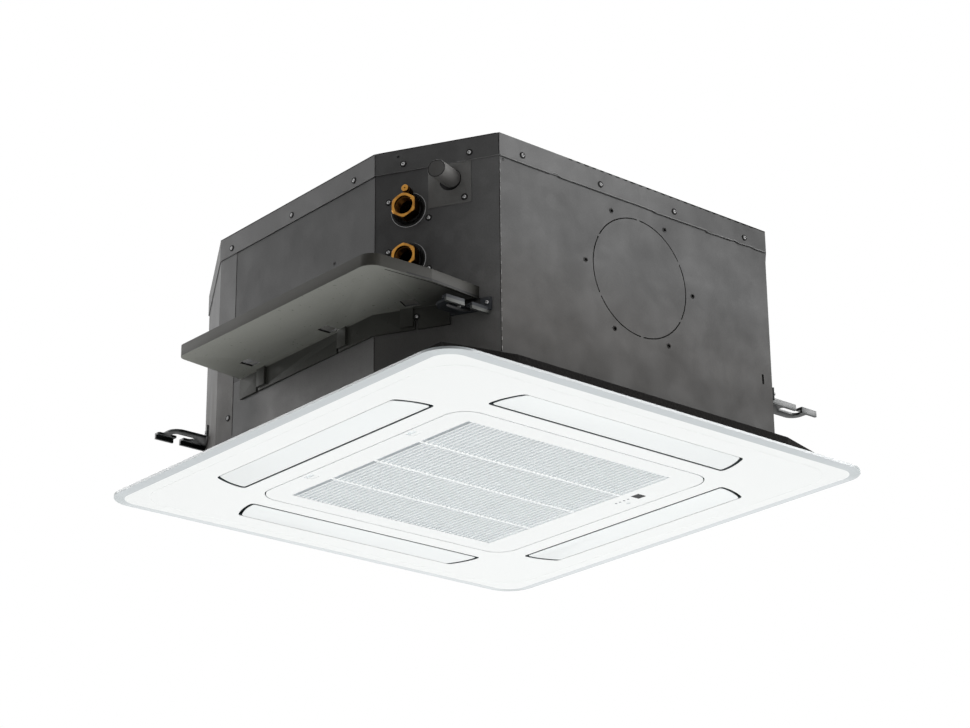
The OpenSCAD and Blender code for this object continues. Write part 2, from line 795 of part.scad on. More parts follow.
// Fan. The motor hangs from its mount under the top cover.
fan_h = 72;
z_fan = z_face + fan_h;
z_back_plate = z_fan + blade_h;
hub_h = 34;
z_motor = z_back_plate + 22;
mount_w = 168;
mount_r = 9;
mount_t = 6;
// posts of the mount, and the height of the motor's flange
post_r = 6;
post_off = 12;
flange_h = 20;
module motor_mount() {
    color("#8f9192") {
        slab(z_under, z_under + mount_t - fit_c) round_rect(mount_w, mount_w, mount_r);
        for (a = [45:90:315]) rotate([0, 0, a])
            translate([motor_r + post_off, 0, z_motor + flange_h])
                cylinder(h = z_under - z_motor - flange_h, r = post_r);
    }
}
module fan_motor() {
    color("#3c3e40") difference() {
        union() {
            slab(z_motor, z_under - 4) circle(motor_r, $fn = 96);
            // flange on the four posts
            slab(z_motor + flange_h - 6, z_motor + flange_h) {
                circle(motor_r + 4, $fn = 96);
                for (a = [0, 90]) rotate([0, 0, a + 45])
                    square([2 * (motor_r + post_off) + 16, 14], center = true);
            }
        }
        translate([0, 0, z_motor - eps]) cylinder(h = shaft_in + 3, r = shaft_r + run_c);
    }
}
// how far the shaft reaches into the motor and stops short of the hub's end
shaft_in = 28;
shaft_low = 4;
module motor_shaft() {
    z0 = z_back_plate - hub_h + shaft_low;
    color("#aeb2b5") translate([0, 0, z0])
        cylinder(h = z_motor + shaft_in - z0, r = shaft_r);
}
blade_in = throat_r + 14;
module impeller() {
    color("#2b2d2f") difference() {
        union() {
            // back plate, hub and inlet ring
            slab(z_back_plate, z_back_plate + 3) circle(fan_r, $fn = 96);
            translate([0, 0, z_back_plate - hub_h]) cylinder(h = hub_h + 8, r = shaft_r + 14);
            slab(z_fan, z_fan + 3) difference() {
                circle(fan_r, $fn = 96);
                circle(throat_r + 6, $fn = 96);
            }
            translate([0, 0, z_fan - 6]) tube(throat_r + 9, 3, 9, $fn = 96);
            // curved blades between ring and back plate
            for (i = [0:blade_n - 1]) rotate([0, 0, i * 360 / blade_n])
                slab(z_fan + 1, z_back_plate + 1) intersection() {
                    difference() {
                        translate([60, 62]) circle(92, $fn = 96);
                        translate([60, 62]) circle(89, $fn = 96);
                    }
                    difference() {
                        circle(fan_r - 1, $fn = 96);
                        circle(blade_in, $fn = 96);
                    }
                    translate([60, -60]) square([120, 122]);
                }
        }
        translate([0, 0, z_back_plate - 99]) cylinder(h = 200, r = shaft_r + 0.02);
    }
}

// Drain pump, hose and float switch in the pipe corner.
pump_top = 100;
hose_r = drain_r - drain_wall - fit_c;
module drain_pump() {
    color("#d9d6cc") on_pipe(drain_t, 0, pump_d) {
        translate([0, 0, 40]) cylinder(h = pump_top - 40, r = pump_r);
        translate([0, 0, pump_top - eps]) cylinder(h = 15, r = hose_r - 2.2);
        translate([0, 0, pump_top - 30]) cylinder(h = 8, r = pump_r + 1.5);
    }
}
elbow_r = 18;
module pump_hose() {
    color("#8f8b80") on_pipe(drain_t, 0, pump_d) difference() {
        union() {
            translate([0, 0, pump_top]) cylinder(h = drain_h - elbow_r - pump_top, r = hose_r);
            translate([0, -elbow_r, drain_h - elbow_r]) rotate([90, 0, 90])
                rotate_extrude(angle = 90) translate([elbow_r, 0]) circle(r = hose_r);
            translate([0, 0, drain_h]) rod(hose_r, -pump_d + 4, -elbow_r);
        }
        translate([0, 0, pump_top - eps]) cylinder(h = 17, r = hose_r - 2);
    }
}
module float_stem() {
    color("#d0cdc4") on_pipe(float_t, 0, float_d) {
        translate([0, 0, 40]) cylinder(h = 52, r = 3);
        translate([0, 0, 40]) cylinder(h = 2, r = 8);
        translate([0, 0, 78]) cylinder(h = 14, r = 8);
    }
}
module float_ring() {
    color("#efece4") on_pipe(float_t, 0, float_d) translate([0, 0, 42.3])
        tube(float_r, float_r - 3 - run_c, 20);
}

// Control box in its pocket beside the bell mouth, open below, closed by its lid.
module control_box() {
    color("#a9abac") difference() {
        box([box_x0, -box_half, z_foam], [box_x0 + box_w, box_half, z_foam + box_h]);
        box([box_x0 + box_t, -box_half + box_t, z_foam - eps],
            [box_x0 + box_w - box_t, box_half - box_t, z_foam + box_h - box_t]);
    }
}
module control_lid() {
    color("#b4b6b7")
        box([box_x0, -box_half, z_foam - bell_t], [box_x0 + box_w, box_half, z_foam]);
}
// the board's margin in the box and its two ends
board_in = 6;
board_y0 = -70;
board_y1 = 80;
module control_board() {
    color("#2d6b45") {
        zc = z_foam + box_h - box_t;
        box([box_x0 + board_in, board_y0, zc - 6],
            [box_x0 + box_w - board_in, board_y1, zc - 4.4]);
        for (x = [box_x0 + board_in + 4, box_x0 + box_w - board_in - 4],
             y = [board_y0 + 6, board_y1 - 6])
            translate([x, y, zc - 4.5]) cylinder(h = 4.5, r = 2.5);
        box([box_x0 + 14, -20, zc - 18], [box_x0 + 34, 10, zc - 5.9]);
    }
}
module terminal_block() {
    color("#e6e2d6") {
        zc = z_foam + box_h - box_t;
        difference() {
            box([box_x0 + 14, -120, zc - 16], [box_x0 + 34, -78, zc]);
            for (i = [0:4]) translate([box_x0 + 24, -114.5 + i * 7.5, zc - 20])
                cylinder(h = 10, r = 2.4);
        }
    }
}
cable_h = 44 + 60;
cable_r = 9;
module cable_grommet() {
    color("#161616") on_right(0, cable_h) difference() {
        union() {
            rod(cable_r + 3, -2, 8);
            rod(cable_r + 5, -2, 0);
        }
        rod(cable_r, -9, 20);
    }
}

// Panel
module at_sides() { for (a = [0:90:270]) rotate([0, 0, a]) children(); }
open_half = grille_half + grille_gap;
open_r = grille_r + grille_gap;
lip_t = 1.6;
wall_in = intake_half;
wall_r = 53.5;
wall_out = wall_in + 2;
z_wall = z_face + 13;
outlet_in = vane_in - vane_gap;
outlet_out = vane_in + vane_w + 1;
outlet_half = vane_half + vane_end_gap;
function vane_outline(u0, u1, v, ri, ro) =
    let (n = 8, e = [for (i = [0:n]) [u0 + (u1 - u0) * i / n, v - vane_curve * pow(i / n, 2)]])
    rounded(concat([for (q = e) [q[0], -q[1]]], [for (i = [n:-1:0]) e[i]]),
            [for (i = [0:2 * n + 1]) i == 0 || i == 2 * n + 1 ? ri : i == n || i == n + 1 ? ro : 0]);
pivot_x = vane_in + pivot_u;
block_v = outlet_half + 0.5;
block_l = 4;
// The grille hangs on two bent arms that reach over the panel's edge to their pins.
hinge_x = open_half + hinge_off;
boss_r = hinge_h - lip_t - 0.4;
arm_w = 6;
arm_t = 3;
arm_gap = 0.4;
arm_leg = hinge_x - grille_half + arm_gap;
arm_bridge = hinge_x - open_half + arm_gap;
ear_t = 3;
pin_l = arm_w / 2 + arm_gap + ear_t;
// tabs of the panel's screws, in the corners of the intake
tab_in = 174;
tab_t = 2.5;
tab_screw = 180;
module panel_frame() {
    color("#f3f5f4") difference() {
        union() {
            hull() {
                slab(z_face, z_face + 0.01)
                    round_rect(panel_w - 2 * bevel_w, panel_w - 2 * bevel_w,
                               max(panel_r - bevel_w, 4), $fn = 64);
                slab(z_face + bevel_h, z_face + bevel_h + 0.01)
                    round_rect(panel_w, panel_w, panel_r, $fn = 64);
            }
            slab(z_face + bevel_h, z_face + face_t) round_rect(panel_w, panel_w, panel_r, $fn = 64);
            slab(z_face + face_t - 0.1, z_face + rim_h) difference() {
                round_rect(panel_w, panel_w, panel_r, $fn = 64);
                round_rect(panel_w - 6, panel_w - 6, panel_r - 3, $fn = 64);
            }
            // upright walls round the air passage and outside the outlets
            slab(z_face + face_t - 0.1, z_wall) difference() {
                round_rect(2 * wall_out, 2 * wall_out, wall_r + 2);
                round_rect(2 * wall_in, 2 * wall_in, wall_r);
            }
            at_sides() {
                box([channel_out, -vane_half - 8, z_face + face_t - 0.1],
                    [channel_out + 2, vane_half + 8, z_wall]);
                // bearing blocks of the vane's pins, the taller one for its motor
                box([pivot_x - 7, -block_v - block_l, z_face + face_t - 0.1],
                    [pivot_x + 7, -block_v, z_face + pivot_h + 5]);
                box([pivot_x - 11, block_v, z_face + face_t - 0.1],
                    [pivot_x + 11, block_v + block_l, z_face + pivot_h + vmotor_off + 9]);
            }
            // ears of the grille's hinge pins
            for (s = [-1, 1], e = [0, 1])
                translate([hinge_x, s * hinge_y + (e == 0 ? -pin_l : pin_l - ear_t), z_face])
                    box([-2.8, 0, face_t - 0.1], [3, ear_t, hinge_h + 3]);
            // screw tabs
            slab(z_wall - tab_t, z_wall) intersection() {
                round_rect(2 * wall_in + 2, 2 * wall_in + 2, wall_r + 1);
                for (x = [-1, 1], y = [-1, 1]) translate([x * (tab_in + 20), y * (tab_in + 20)])
                    square(40, center = true);
            }
        }
        slab(z_face - eps, z_face + lip_t + eps) round_rect(2 * open_half, 2 * open_half, open_r);
        slab(z_face + lip_t, z_face + face_t + 0.2)
            round_rect(2 * open_half + 6, 2 * open_half + 6, open_r + 3);
        at_sides() {
            slab(z_face - eps, z_face + face_t + eps)
                polygon(vane_outline(outlet_in, outlet_out, outlet_half, 5, 7));
            translate([pivot_x, 0, z_face + pivot_h])
                rod(pivot_r + run_c, -block_v - block_l - eps, block_v + block_l + eps);
        }
        for (s = [-1, 1]) translate([hinge_x, s * hinge_y, z_face]) {
            translate([0, 0, hinge_h]) rod(hinge_r + 0.02, -20, 20);
            // hollow under the end of a bent arm
            box([-7, -arm_w / 2 - arm_gap, lip_t], [4, arm_w / 2 + arm_gap, face_t + 0.5]);
        }
        panel_screw_places() translate([0, 0, z_wall - 9]) cylinder(h = 12, r = screw_r + run_c);
    }
}
// screws in the tabs, reached with the grille open
module panel_screw_places() {
    for (x = [-1, 1], y = [-1, 1]) translate([x * tab_screw, y * tab_screw, 0]) children();
}
module panel_screws() {
    color("#c9cbca") panel_screw_places() {
        translate([0, 0, z_wall - tab_t - 2]) cylinder(h = 2, r = screw_head_r);
        translate([0, 0, z_wall - tab_t - 1]) cylinder(h = panel_h - 13 + tab_t + 8, r = screw_r);
    }
}
foam_hx = channel_out + foam_side_w;
foam_hy = channel_out + foam_w;
foam_pts = [
    [-foam_hx + foam_cut_x, -foam_hy], [foam_hx - foam_cut_x, -foam_hy],
    [foam_hx, -foam_hy + foam_cut_y], [foam_hx, foam_hy - foam_cut_y],
    [foam_hx - foam_cut_x, foam_hy], [-foam_hx + foam_cut_x, foam_hy],
    [-foam_hx, foam_hy - foam_cut_y], [-foam_hx, -foam_hy + foam_cut_y]];
motor_v = block_v + block_l;
vmotor_r = 10.5;
vmotor_l = 16;
vmotor_off = 7.5;
module panel_duct() {
    color("#141414") difference() {
        slab(z_face + face_t, z_foam) polygon(foam_pts);
        slab(z_face + face_t - eps, z_wall) square(2 * (channel_out + 2.3), center = true);
        // the foam stays inside the panel's rim
        slab(z_face + face_t - eps, z_face + rim_h + fit_c) difference() {
            square(2 * foam_hy + 2, center = true);
            round_rect(panel_w - 6 - 2 * fit_c, panel_w - 6 - 2 * fit_c, panel_r - 3);
        }
        slab(z_wall - eps, z_foam + eps) round_rect(2 * 205, 2 * 205, 95);
        panel_screw_places() translate([0, 0, z_wall - eps]) cylinder(h = 20, r = screw_r + run_c);
        slab(z_wall - eps, z_foam + eps) side_slots(channel_in, channel_out, channel_half);
        at_sides() box([pivot_x - 12, motor_v - 8, z_face],
                       [pivot_x + 12, motor_v + vmotor_l + 2, z_foam + eps]);
    }
}
module vane_motors() {
    color("#c8c6bd") at_sides() difference() {
        translate([pivot_x, motor_v, z_face + pivot_h + vmotor_off]) rod(vmotor_r, 0, vmotor_l);
        translate([pivot_x, motor_v, z_face + pivot_h]) rod(pivot_r + run_c, -9, 5);
    }
}

// One vane, drawn on the +X side and turned to the other sides.
module vane() {
    color("#eef3f3") {
        slab(z_face, z_face + vane_t)
            polygon(vane_outline(vane_in, vane_in + vane_w, vane_half, 3, 5));
        for (s = [-1, 1]) {
            translate([pivot_x, s * (vane_half - 4), 0])
                box([-5, -1.5, z_face + vane_t - 0.1], [5, 1.5, z_face + pivot_h + 4]);
        }
        translate([pivot_x, 0, z_face + pivot_h]) {
            rod(pivot_r, vane_half - 5, motor_v + 4);
            rod(pivot_r, -block_v - block_l, -vane_half + 5);
        }
    }
}
module vane_right() { vane(); }
module vane_back() { rotate([0, 0, 90]) vane(); }
module vane_left() { rotate([0, 0, 180]) vane(); }
module vane_front() { rotate([0, 0, 270]) vane(); }

// Intake grille
latch_x = -179;
latch_y = 95;
latch_w = 6;
latch_l = 14;
latch_travel = 5;
window = [166, -91];
window_w = 13;
lens_x = 164;
lens_y = [-54, -61, -68, -75];
lens_r = 1.6;
button_p = [175, -64];
button_r = 2.5;
rim_x = field_x + 5.5;
rim_y = field_y + 5.5;
slat_n = floor(2 * field_x / slat_pitch);
filter_z = 8;
rib_off = [4, 4, 4];
module at_field() { translate([-field_off, 0, 0]) children(); }
module intake_grille() {
    color("#f2f5f4") difference() {
        union() {
            slab(z_face, z_face + face_t) difference() {
                round_rect(2 * grille_half, 2 * grille_half, grille_r);
                at_field() square([2 * field_x, 2 * field_y], center = true);
            }
            // leaning slats along Y
            at_field() for (i = [0:slat_n - 1])
                translate([(i - (slat_n - 1) / 2) * slat_pitch, field_y + 0.5, z_face])
                    rotate([90, 0, 0]) linear_extrude(2 * field_y + 1) polygon([
                        [-slat_t / 2, 0], [slat_t / 2, 0],
                        [slat_t / 2 + slat_lean, slat_d], [-slat_t / 2 + slat_lean, slat_d]]);
            at_field() for (y = [-field_y / 2, 0, field_y / 2] + rib_off)
                box([-field_x - 0.5, y - rib_w / 2, z_face + 0.4],
                    [field_x + 0.5, y + rib_w / 2, z_face + filter_z]);
            // upstand round the filter
            at_field() slab(z_face + face_t - 0.1, z_face + 12) difference() {
                square([2 * rim_x + 4, 2 * rim_y + 4], center = true);
                square([2 * rim_x, 2 * rim_y], center = true);
            }
            // bent hinge arms
            for (s = [-1, 1]) translate([hinge_x, s * hinge_y + arm_w / 2, z_face + hinge_h])
                rotate([90, 0, 0]) linear_extrude(arm_w) {
                    circle(boss_r);
                    translate([-boss_r, 0]) square([2 * boss_r - 1, arm_bridge + arm_t]);
                    translate([-arm_leg - arm_t, arm_bridge])
                        square([arm_leg + arm_t + boss_r - 1, arm_t]);
                    translate([-arm_leg - arm_t, face_t - hinge_h - 0.1])
                        square([arm_t, arm_bridge + arm_t + hinge_h - face_t + 0.1]);
                }
        }
        for (s = [-1, 1]) {
            translate([hinge_x, s * hinge_y, z_face + hinge_h]) rod(hinge_r + run_c, -20, 20);
            // slot of a latch
            translate([latch_x, s * latch_y, 0])
                box([-latch_w / 2 - latch_travel - fit_c, -latch_l / 2 - fit_c, z_face - eps],
                    [latch_w / 2 + fit_c, latch_l / 2 + fit_c, z_face + face_t + eps]);
        }
        translate([window[0], window[1], z_face - eps]) slab(0, 9)
            square(window_w + 0.4, center = true);
        for (y = lens_y) translate([lens_x, y, z_face - eps]) cylinder(h = 9, r = lens_r + run_c);
        translate([button_p[0], button_p[1], z_face - eps]) cylinder(h = 9, r = button_r + 0.15);
    }
}
module latch(s) {
    color("#e9edec") translate([latch_x, s * latch_y, z_face]) {
        box([-latch_w / 2, -latch_l / 2, 0], [latch_w / 2, latch_l / 2, face_t + 0.6]);
        box([-latch_w / 2 - latch_travel - 1, -latch_l / 2 - 4, face_t + 0.3],
            [latch_w / 2 + 4, latch_l / 2 + 4, face_t + 1.8]);
        box([-grille_half - latch_x - 1, -latch_l / 2, face_t + 0.3],
            [0, latch_l / 2, face_t + 1.8]);
    }
}
module latch_a() { latch(1); }
module latch_b() { latch(-1); }
module hinge_pins() {
    color("#9fa3a5") for (s = [-1, 1])
        translate([hinge_x, s * hinge_y, z_face + hinge_h]) rod(hinge_r, -pin_l, pin_l);
}
module filter_frame() {
    color("#c9cdd0") at_field() slab(z_face + filter_z, z_face + filter_z + 3.5) difference() {
        square([2 * rim_x - 1, 2 * rim_y - 1], center = true);
        for (i = [-1, 0, 1], j = [-1, 0, 1])
            translate([i * (2 * rim_x - 1) / 3, j * (2 * rim_y - 1) / 3])
                square([(2 * rim_x - 1) / 3 - 6, (2 * rim_y - 1) / 3 - 6], center = true);
    }
}
module filter_mesh() {
    color("#7d8489") at_field() slab(z_face + filter_z + 3.5, z_face + filter_z + 4.1)
        square([2 * rim_x - 4, 2 * rim_y - 4], center = true);
}
module receiver_window() {
    color("#15171a") translate([window[0], window[1], z_face]) slab(0, face_t)
        square(window_w, center = true);
}
module indicator_lenses() {
    color("#6f7c86") for (y = lens_y) translate([lens_x, y, z_face])
        cylinder(h = face_t, r = lens_r);
}
module manual_button() {
    color("#e3e7e7") translate([button_p[0], button_p[1], z_face]) {
        cylinder(h = face_t + 0.4, r = button_r);
        translate([0, 0, face_t + 0.2]) cylinder(h = 1, r = button_r + 1);
    }
}
// housing of the display parts, behind the grille's frame
module display_box() {
    color("#dfe3e3") difference() {
        box([window[0] - 8, window[1] - 10, z_face + face_t], [window[0] + 16, -44, z_face + 10]);
        translate([button_p[0], button_p[1], z_face]) cylinder(h = 6.4, r = button_r + 2);
    }
}

side_left();
side_front();
side_right();
side_back();
corner_pipe();
corner_left();
corner_right();
corner_far();
top_cover();
case_liner();
hanger_pipe();
hanger_left();
hanger_right();
hanger_far();
case_screws();
union_upper();
union_lower();
pipe_grommets();
bleed_screw();
drain_plate();
drain_stub();
drip_tray();
tray_screws();
drain_pan();
bell_mouth();
coil_fins();
coil_tubes();
coil_plates();
fan_motor();
motor_mount();
motor_shaft();
impeller();
drain_pump();
pump_hose();
float_stem();
float_ring();
control_box();
control_lid();
terminal_block();
control_board();
cable_grommet();
panel_frame();
panel_duct();
vane_left();
vane_front();
vane_right();
vane_back();
vane_motors();
intake_grille();
filter_frame();
filter_mesh();
latch_a();
latch_b();
hinge_pins();
receiver_window();
indicator_lenses();
manual_button();
display_box();
panel_screws();
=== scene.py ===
# %% [markdown]
# # Dressing a ceiling cassette fan coil unit
# The unit hangs above a ceiling grid: an octagonal casing of galvanised sheet, a drip tray for
# the valves, brass unions, and below it a square white panel with four vanes and an intake
# grille. The CAD model gives every solid. Here each of them gets its finish, and the parts that
# the eye rests on are made again with rounded edges, threads, recesses and seams.

# %% Load the CAD frame
import math
import bmesh
import bpy
from mathutils import Matrix, Vector


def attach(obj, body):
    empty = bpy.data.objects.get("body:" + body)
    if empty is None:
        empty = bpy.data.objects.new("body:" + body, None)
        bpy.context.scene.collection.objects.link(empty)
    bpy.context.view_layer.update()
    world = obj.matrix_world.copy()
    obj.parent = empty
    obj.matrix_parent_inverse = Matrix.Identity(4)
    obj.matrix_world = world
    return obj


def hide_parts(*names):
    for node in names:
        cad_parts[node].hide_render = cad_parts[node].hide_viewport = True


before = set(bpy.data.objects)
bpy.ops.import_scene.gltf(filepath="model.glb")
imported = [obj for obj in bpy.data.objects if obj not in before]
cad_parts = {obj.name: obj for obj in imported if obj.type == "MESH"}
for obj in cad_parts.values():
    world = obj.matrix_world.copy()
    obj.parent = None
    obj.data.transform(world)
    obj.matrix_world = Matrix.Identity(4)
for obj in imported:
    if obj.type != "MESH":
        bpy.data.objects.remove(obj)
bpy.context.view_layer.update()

MM = 0.001
FACE = -79                 # height of the panel's visible face, in mm
SCENE = bpy.context.scene

# %% [markdown]
# ## Camera
# The photograph looks up at the unit from below its near corner through a long lens. A camera
# can be aimed with a tracking constraint, but then its roll isn't free. Here the three axes of
# the camera are worked out from yaw, pitch and roll, and written into its matrix.

# %% Camera
YAW, PITCH, ROLL = math.radians(49.66275), math.radians(21.4422), math.radians(-0.52914)
EYE = Vector((-1806.739, -2132.896, -1019.93)) * MM
FOCAL_PIXELS, FRAME_WIDTH = 2492.37, 970


def camera_turn(yaw, pitch, roll):
    """The camera's own axes as a matrix: X to the right, Y up and Z back along the view."""
    ahead = Vector((math.cos(pitch) * math.cos(yaw), math.cos(pitch) * math.sin(yaw),
                    math.sin(pitch)))
    right = ahead.cross(Vector((0, 0, 1))).normalized()
    up = right.cross(ahead)
    right, up = (right * math.cos(roll) + up * math.sin(roll),
                 up * math.cos(roll) - right * math.sin(roll))
    return Matrix((right, up, -ahead)).transposed().to_4x4()


lens = bpy.data.cameras.new("camera")
lens.sensor_width = 36.0
lens.lens = FOCAL_PIXELS * lens.sensor_width / FRAME_WIDTH
lens.clip_start, lens.clip_end = 0.05, 100.0
camera = bpy.data.objects.new("camera", lens)
SCENE.collection.objects.link(camera)
camera.matrix_world = Matrix.Translation(EYE) @ camera_turn(YAW, PITCH, ROLL)
SCENE.camera = camera
SCENE.view_settings.view_transform = "Standard"
print("lens", round(lens.lens, 2), "mm")

# %% [markdown]
# ## Sums in node trees
# A procedural finish is mostly arithmetic: noise times a strength, plus a base, inside a mask.
# Wiring Math nodes by hand is slow to read, so one small class wraps a socket and lets Python's
# own operators add the nodes. The reflected forms are there so that 1 - mask works as well.

# %% A socket that can be used in sums
class Sock:
    """A node's socket that Python's operators work on."""
    def __init__(self, graph, socket):
        self.graph, self.socket = graph, socket

    def __getitem__(self, name):
        return Sock(self.graph, self.socket.node.outputs[name])

    def math(self, operation, *values):
        return self.graph.node("ShaderNodeMath", {"operation": operation}, dict(enumerate(values)))

    def __add__(self, other): return self.math("ADD", self, other)
    def __radd__(self, other): return self.math("ADD", other, self)
    def __sub__(self, other): return self.math("SUBTRACT", self, other)
    def __rsub__(self, other): return self.math("SUBTRACT", other, self)
    def __mul__(self, other): return self.math("MULTIPLY", self, other)
    def __rmul__(self, other): return self.math("MULTIPLY", other, self)
    def __pow__(self, other): return self.math("POWER", self, other)
    def __gt__(self, other): return self.math("GREATER_THAN", self, other)
    def __lt__(self, other): return self.math("LESS_THAN", self, other)
    def __abs__(self): return self.math("ABSOLUTE", self)
    def least(self, other): return self.math("MINIMUM", self, other)
    def most(self, other): return self.math("MAXIMUM", self, other)

    def ramp(self, low, high, from_=0.0, to=1.0):
        """from_ below low, to above high, and a smooth step between them."""
        return self.graph.node("ShaderNodeMapRange", {"interpolation_type": "SMOOTHSTEP"},
                               {"Value": self, "From Min": low, "From Max": high,
                                "To Min": from_, "To Max": to})


# %% One way to add any node
class Graph:
    """Adds nodes to one tree."""
    def __init__(self, tree):
        self.tree = tree

    def plug(self, socket, value):
        if isinstance(value, Sock):
            self.tree.links.new(value.socket, socket)
        elif value is not None:
            socket.default_value = value

    def node(self, kind, settings=None, inputs=None, out=0):
        """Its settings are set first, because they decide which sockets it has."""
        made = self.tree.nodes.new(kind)
        for key, value in (settings or {}).items():
            setattr(made, key, value)
        for key, value in (inputs or {}).items():
            self.plug(made.inputs[key], value)
        return Sock(self, made.outputs[out]) if len(made.outputs) else made

    def mix(self, first, second, factor):
        """Two colours blended by a factor."""
        first = (*first, 1.0) if isinstance(first, tuple) else first
        second = (*second, 1.0) if isinstance(second, tuple) else second
        return self.node("ShaderNodeMix", {"data_type": "RGBA"},
                         {0: factor, 6: first, 7: second}, out=2)

    def point(self):
        """The point on the piece, in metres."""
        return self.node("ShaderNodeTexCoord")["Object"]

    def place(self):
        """That point, and its three coordinates."""
        point = self.point()
        split = self.node("ShaderNodeSeparateXYZ", None, {0: point})
        return point, split["X"], split["Y"], split["Z"]

    def noise(self, point, scale, detail=2.0, stretch=None):
        if stretch:
            point = self.node("ShaderNodeMapping", None, {"Vector": point, "Scale": stretch})
        return self.node("ShaderNodeTexNoise", None,
                         {"Vector": point, "Scale": scale, "Detail": detail})

    def cells(self, point, scale):
        """One random value for each cell of a Voronoi pattern."""
        colour = self.node("ShaderNodeTexVoronoi", None, {"Vector": point, "Scale": scale})["Color"]
        return self.node("ShaderNodeSeparateColor", None, {0: colour})

    def bump(self, height, distance, strength=1.0):
        return self.node("ShaderNodeBump", None,
                         {"Height": height, "Distance": distance, "Strength": strength})


# %% [markdown]
# ## Light
# The photograph is a cut-out on white. A bright world would give that white, but it would also
# light the object from all sides and wash it out. So the world and the floor show their white
# to camera, glossy and transmission rays only, and the lamps light the object.

# %% World and floor
WORLD_GLOW = 0.10                          # the world's light on the object
FLOOR_GLOW = 0.78
FLOOR_HEIGHT, FLOOR_HALF = -3.4, 40.0      # metres


def seen_ray(graph):
    """1 for the rays that see the backdrop, 0 for those that light the object."""
    path = graph.node("ShaderNodeLightPath")
    return (path["Is Camera Ray"] + path["Is Glossy Ray"] + path["Is Transmission Ray"]).least(1.0)


def build_world():
    world = bpy.data.worlds.new("studio")
    world.use_nodes = True
    tree = world.node_tree
    tree.nodes.clear()
    graph = Graph(tree)
    level = seen_ray(graph).ramp(0.0, 1.0, WORLD_GLOW, 1.0)
    glow = graph.node("ShaderNodeBackground", None, {"Color": (1, 1, 1, 1), "Strength": level})
    graph.node("ShaderNodeOutputWorld", None, {"Surface": glow})
    SCENE.world = world


def build_floor():
    mesh = bpy.data.meshes.new("floor")
    s, z = FLOOR_HALF, FLOOR_HEIGHT
    mesh.from_pydata([(-s, -s, z), (s, -s, z), (s, s, z), (-s, s, z)], [], [(0, 1, 2, 3)])
    floor = bpy.data.objects.new("floor", mesh)
    SCENE.collection.objects.link(floor)
    paint = bpy.data.materials.new("pale_floor")
    paint.use_nodes = True
    paint.node_tree.nodes.clear()
    graph = Graph(paint.node_tree)
    dull = graph.node("ShaderNodeBsdfDiffuse", None, {"Color": (0.8, 0.8, 0.8, 1)})
    shine = graph.node("ShaderNodeEmission", None, {"Strength": seen_ray(graph) * FLOOR_GLOW})
    both = graph.node("ShaderNodeAddShader", None, {0: dull, 1: shine})
    graph.node("ShaderNodeOutputMaterial", None, {"Surface": both})
    mesh.materials.append(paint)


build_world()
build_floor()
print("world and floor made")

# %% [markdown]
# In the photograph the panel is almost white, the fresh air side is mid grey, the tray side is
# darker and the pipe corner between them is darker still. So the light comes from below and
# from both flanks, and hardly from behind the camera. A sun lamp would draw hard edges. Large
# area lamps give the soft gradients.

# %% Area lamps
def softbox(name, spot, aim, size, watts):
    """A rectangular lamp. Its place, aim and size are in metres."""
    lamp = bpy.data.lights.new(name, "AREA")
    lamp.shape, lamp.size, lamp.size_y, lamp.energy = "RECTANGLE", size[0], size[1], watts
    box = bpy.data.objects.new(name, lamp)
    SCENE.collection.objects.link(box)
    box.location = spot
    box.rotation_mode = "QUATERNION"
    box.rotation_quaternion = (Vector(aim) - Vector(spot)).to_track_quat("-Z", "Y")
    box.visible_camera = False


softbox("from_below", (0.3, 0.3, -2.3), (0.3, 0.3, 0), (4.2, 4.2), 78)
softbox("left_flank", (-2.2, 3.4, 0.9), (0, 0, 0.1), (1.6, 2.2), 70)
softbox("right_flank", (2.6, -2.6, 1.5), (0, 0, 0.12), (1.8, 1.8), 120)
softbox("overhead", (0.4, 0.6, 3.0), (0, 0, 0.2), (2.5, 2.5), 60)
print("lamps", len(bpy.data.lights))

# %% [markdown]
# ## Finishes
# Every finish starts as a Principled shader with plain constants, and only what changes over
# the surface is linked: colour, roughness and bump. The patterns read Object coordinates. All
# pieces keep their object at the origin, so a pattern runs on from one piece to the next, and
# it stays with the piece when a joint moves.

# %% A finish from a function
FINISHES = {}


def finish(name, constants, build):
    """A Principled material. build returns what each linked socket gets."""
    paint = bpy.data.materials.new(name)
    paint.use_nodes = True
    graph = Graph(paint.node_tree)
    shader = paint.node_tree.nodes["Principled BSDF"]
    for socket, value in constants.items():
        shader.inputs[socket].default_value = value
    for socket, value in build(graph).items():
        graph.plug(shader.inputs[socket], value)
    FINISHES[name] = paint


# %% [markdown]
# Galvanised sheet has zinc crystals a centimetre across, cloudy handling marks and a fine grain.
# Each of them is one noise. They could be painted as an image texture, but noise has no seams
# and no resolution. Ramps along X, Y and Z paint light and shade into the colour: each sheet
# turns darker or lighter towards its foot and along X, with painted shade just above the black
# foam and a painted shadow just above the tray's floor. Its foot is also a little warmer.

# %% Galvanised sheet
# The sheets get painted light and shade, and a warmer tint, towards their foot.
SHEET_FOOT = (0.12, -0.07)          # metres up: where a sheet starts to change, and its foot
TRAY_REACH = (0.085, 0.03)          # metres along Y: where the foot of the tray side begins
FOAM_CONTACT = (-0.053, -0.036)     # metres up: the shade just above the black foam
# A painted shadow on the sheet just above the tray's floor, inside its rim.
TRAY_INSIDE = ((0.015, 0.0155), (0.036, 0.030))     # metres up: inside the tray's rim
TRAY_INSIDE_END = (-0.237, -0.241)                  # metres along X


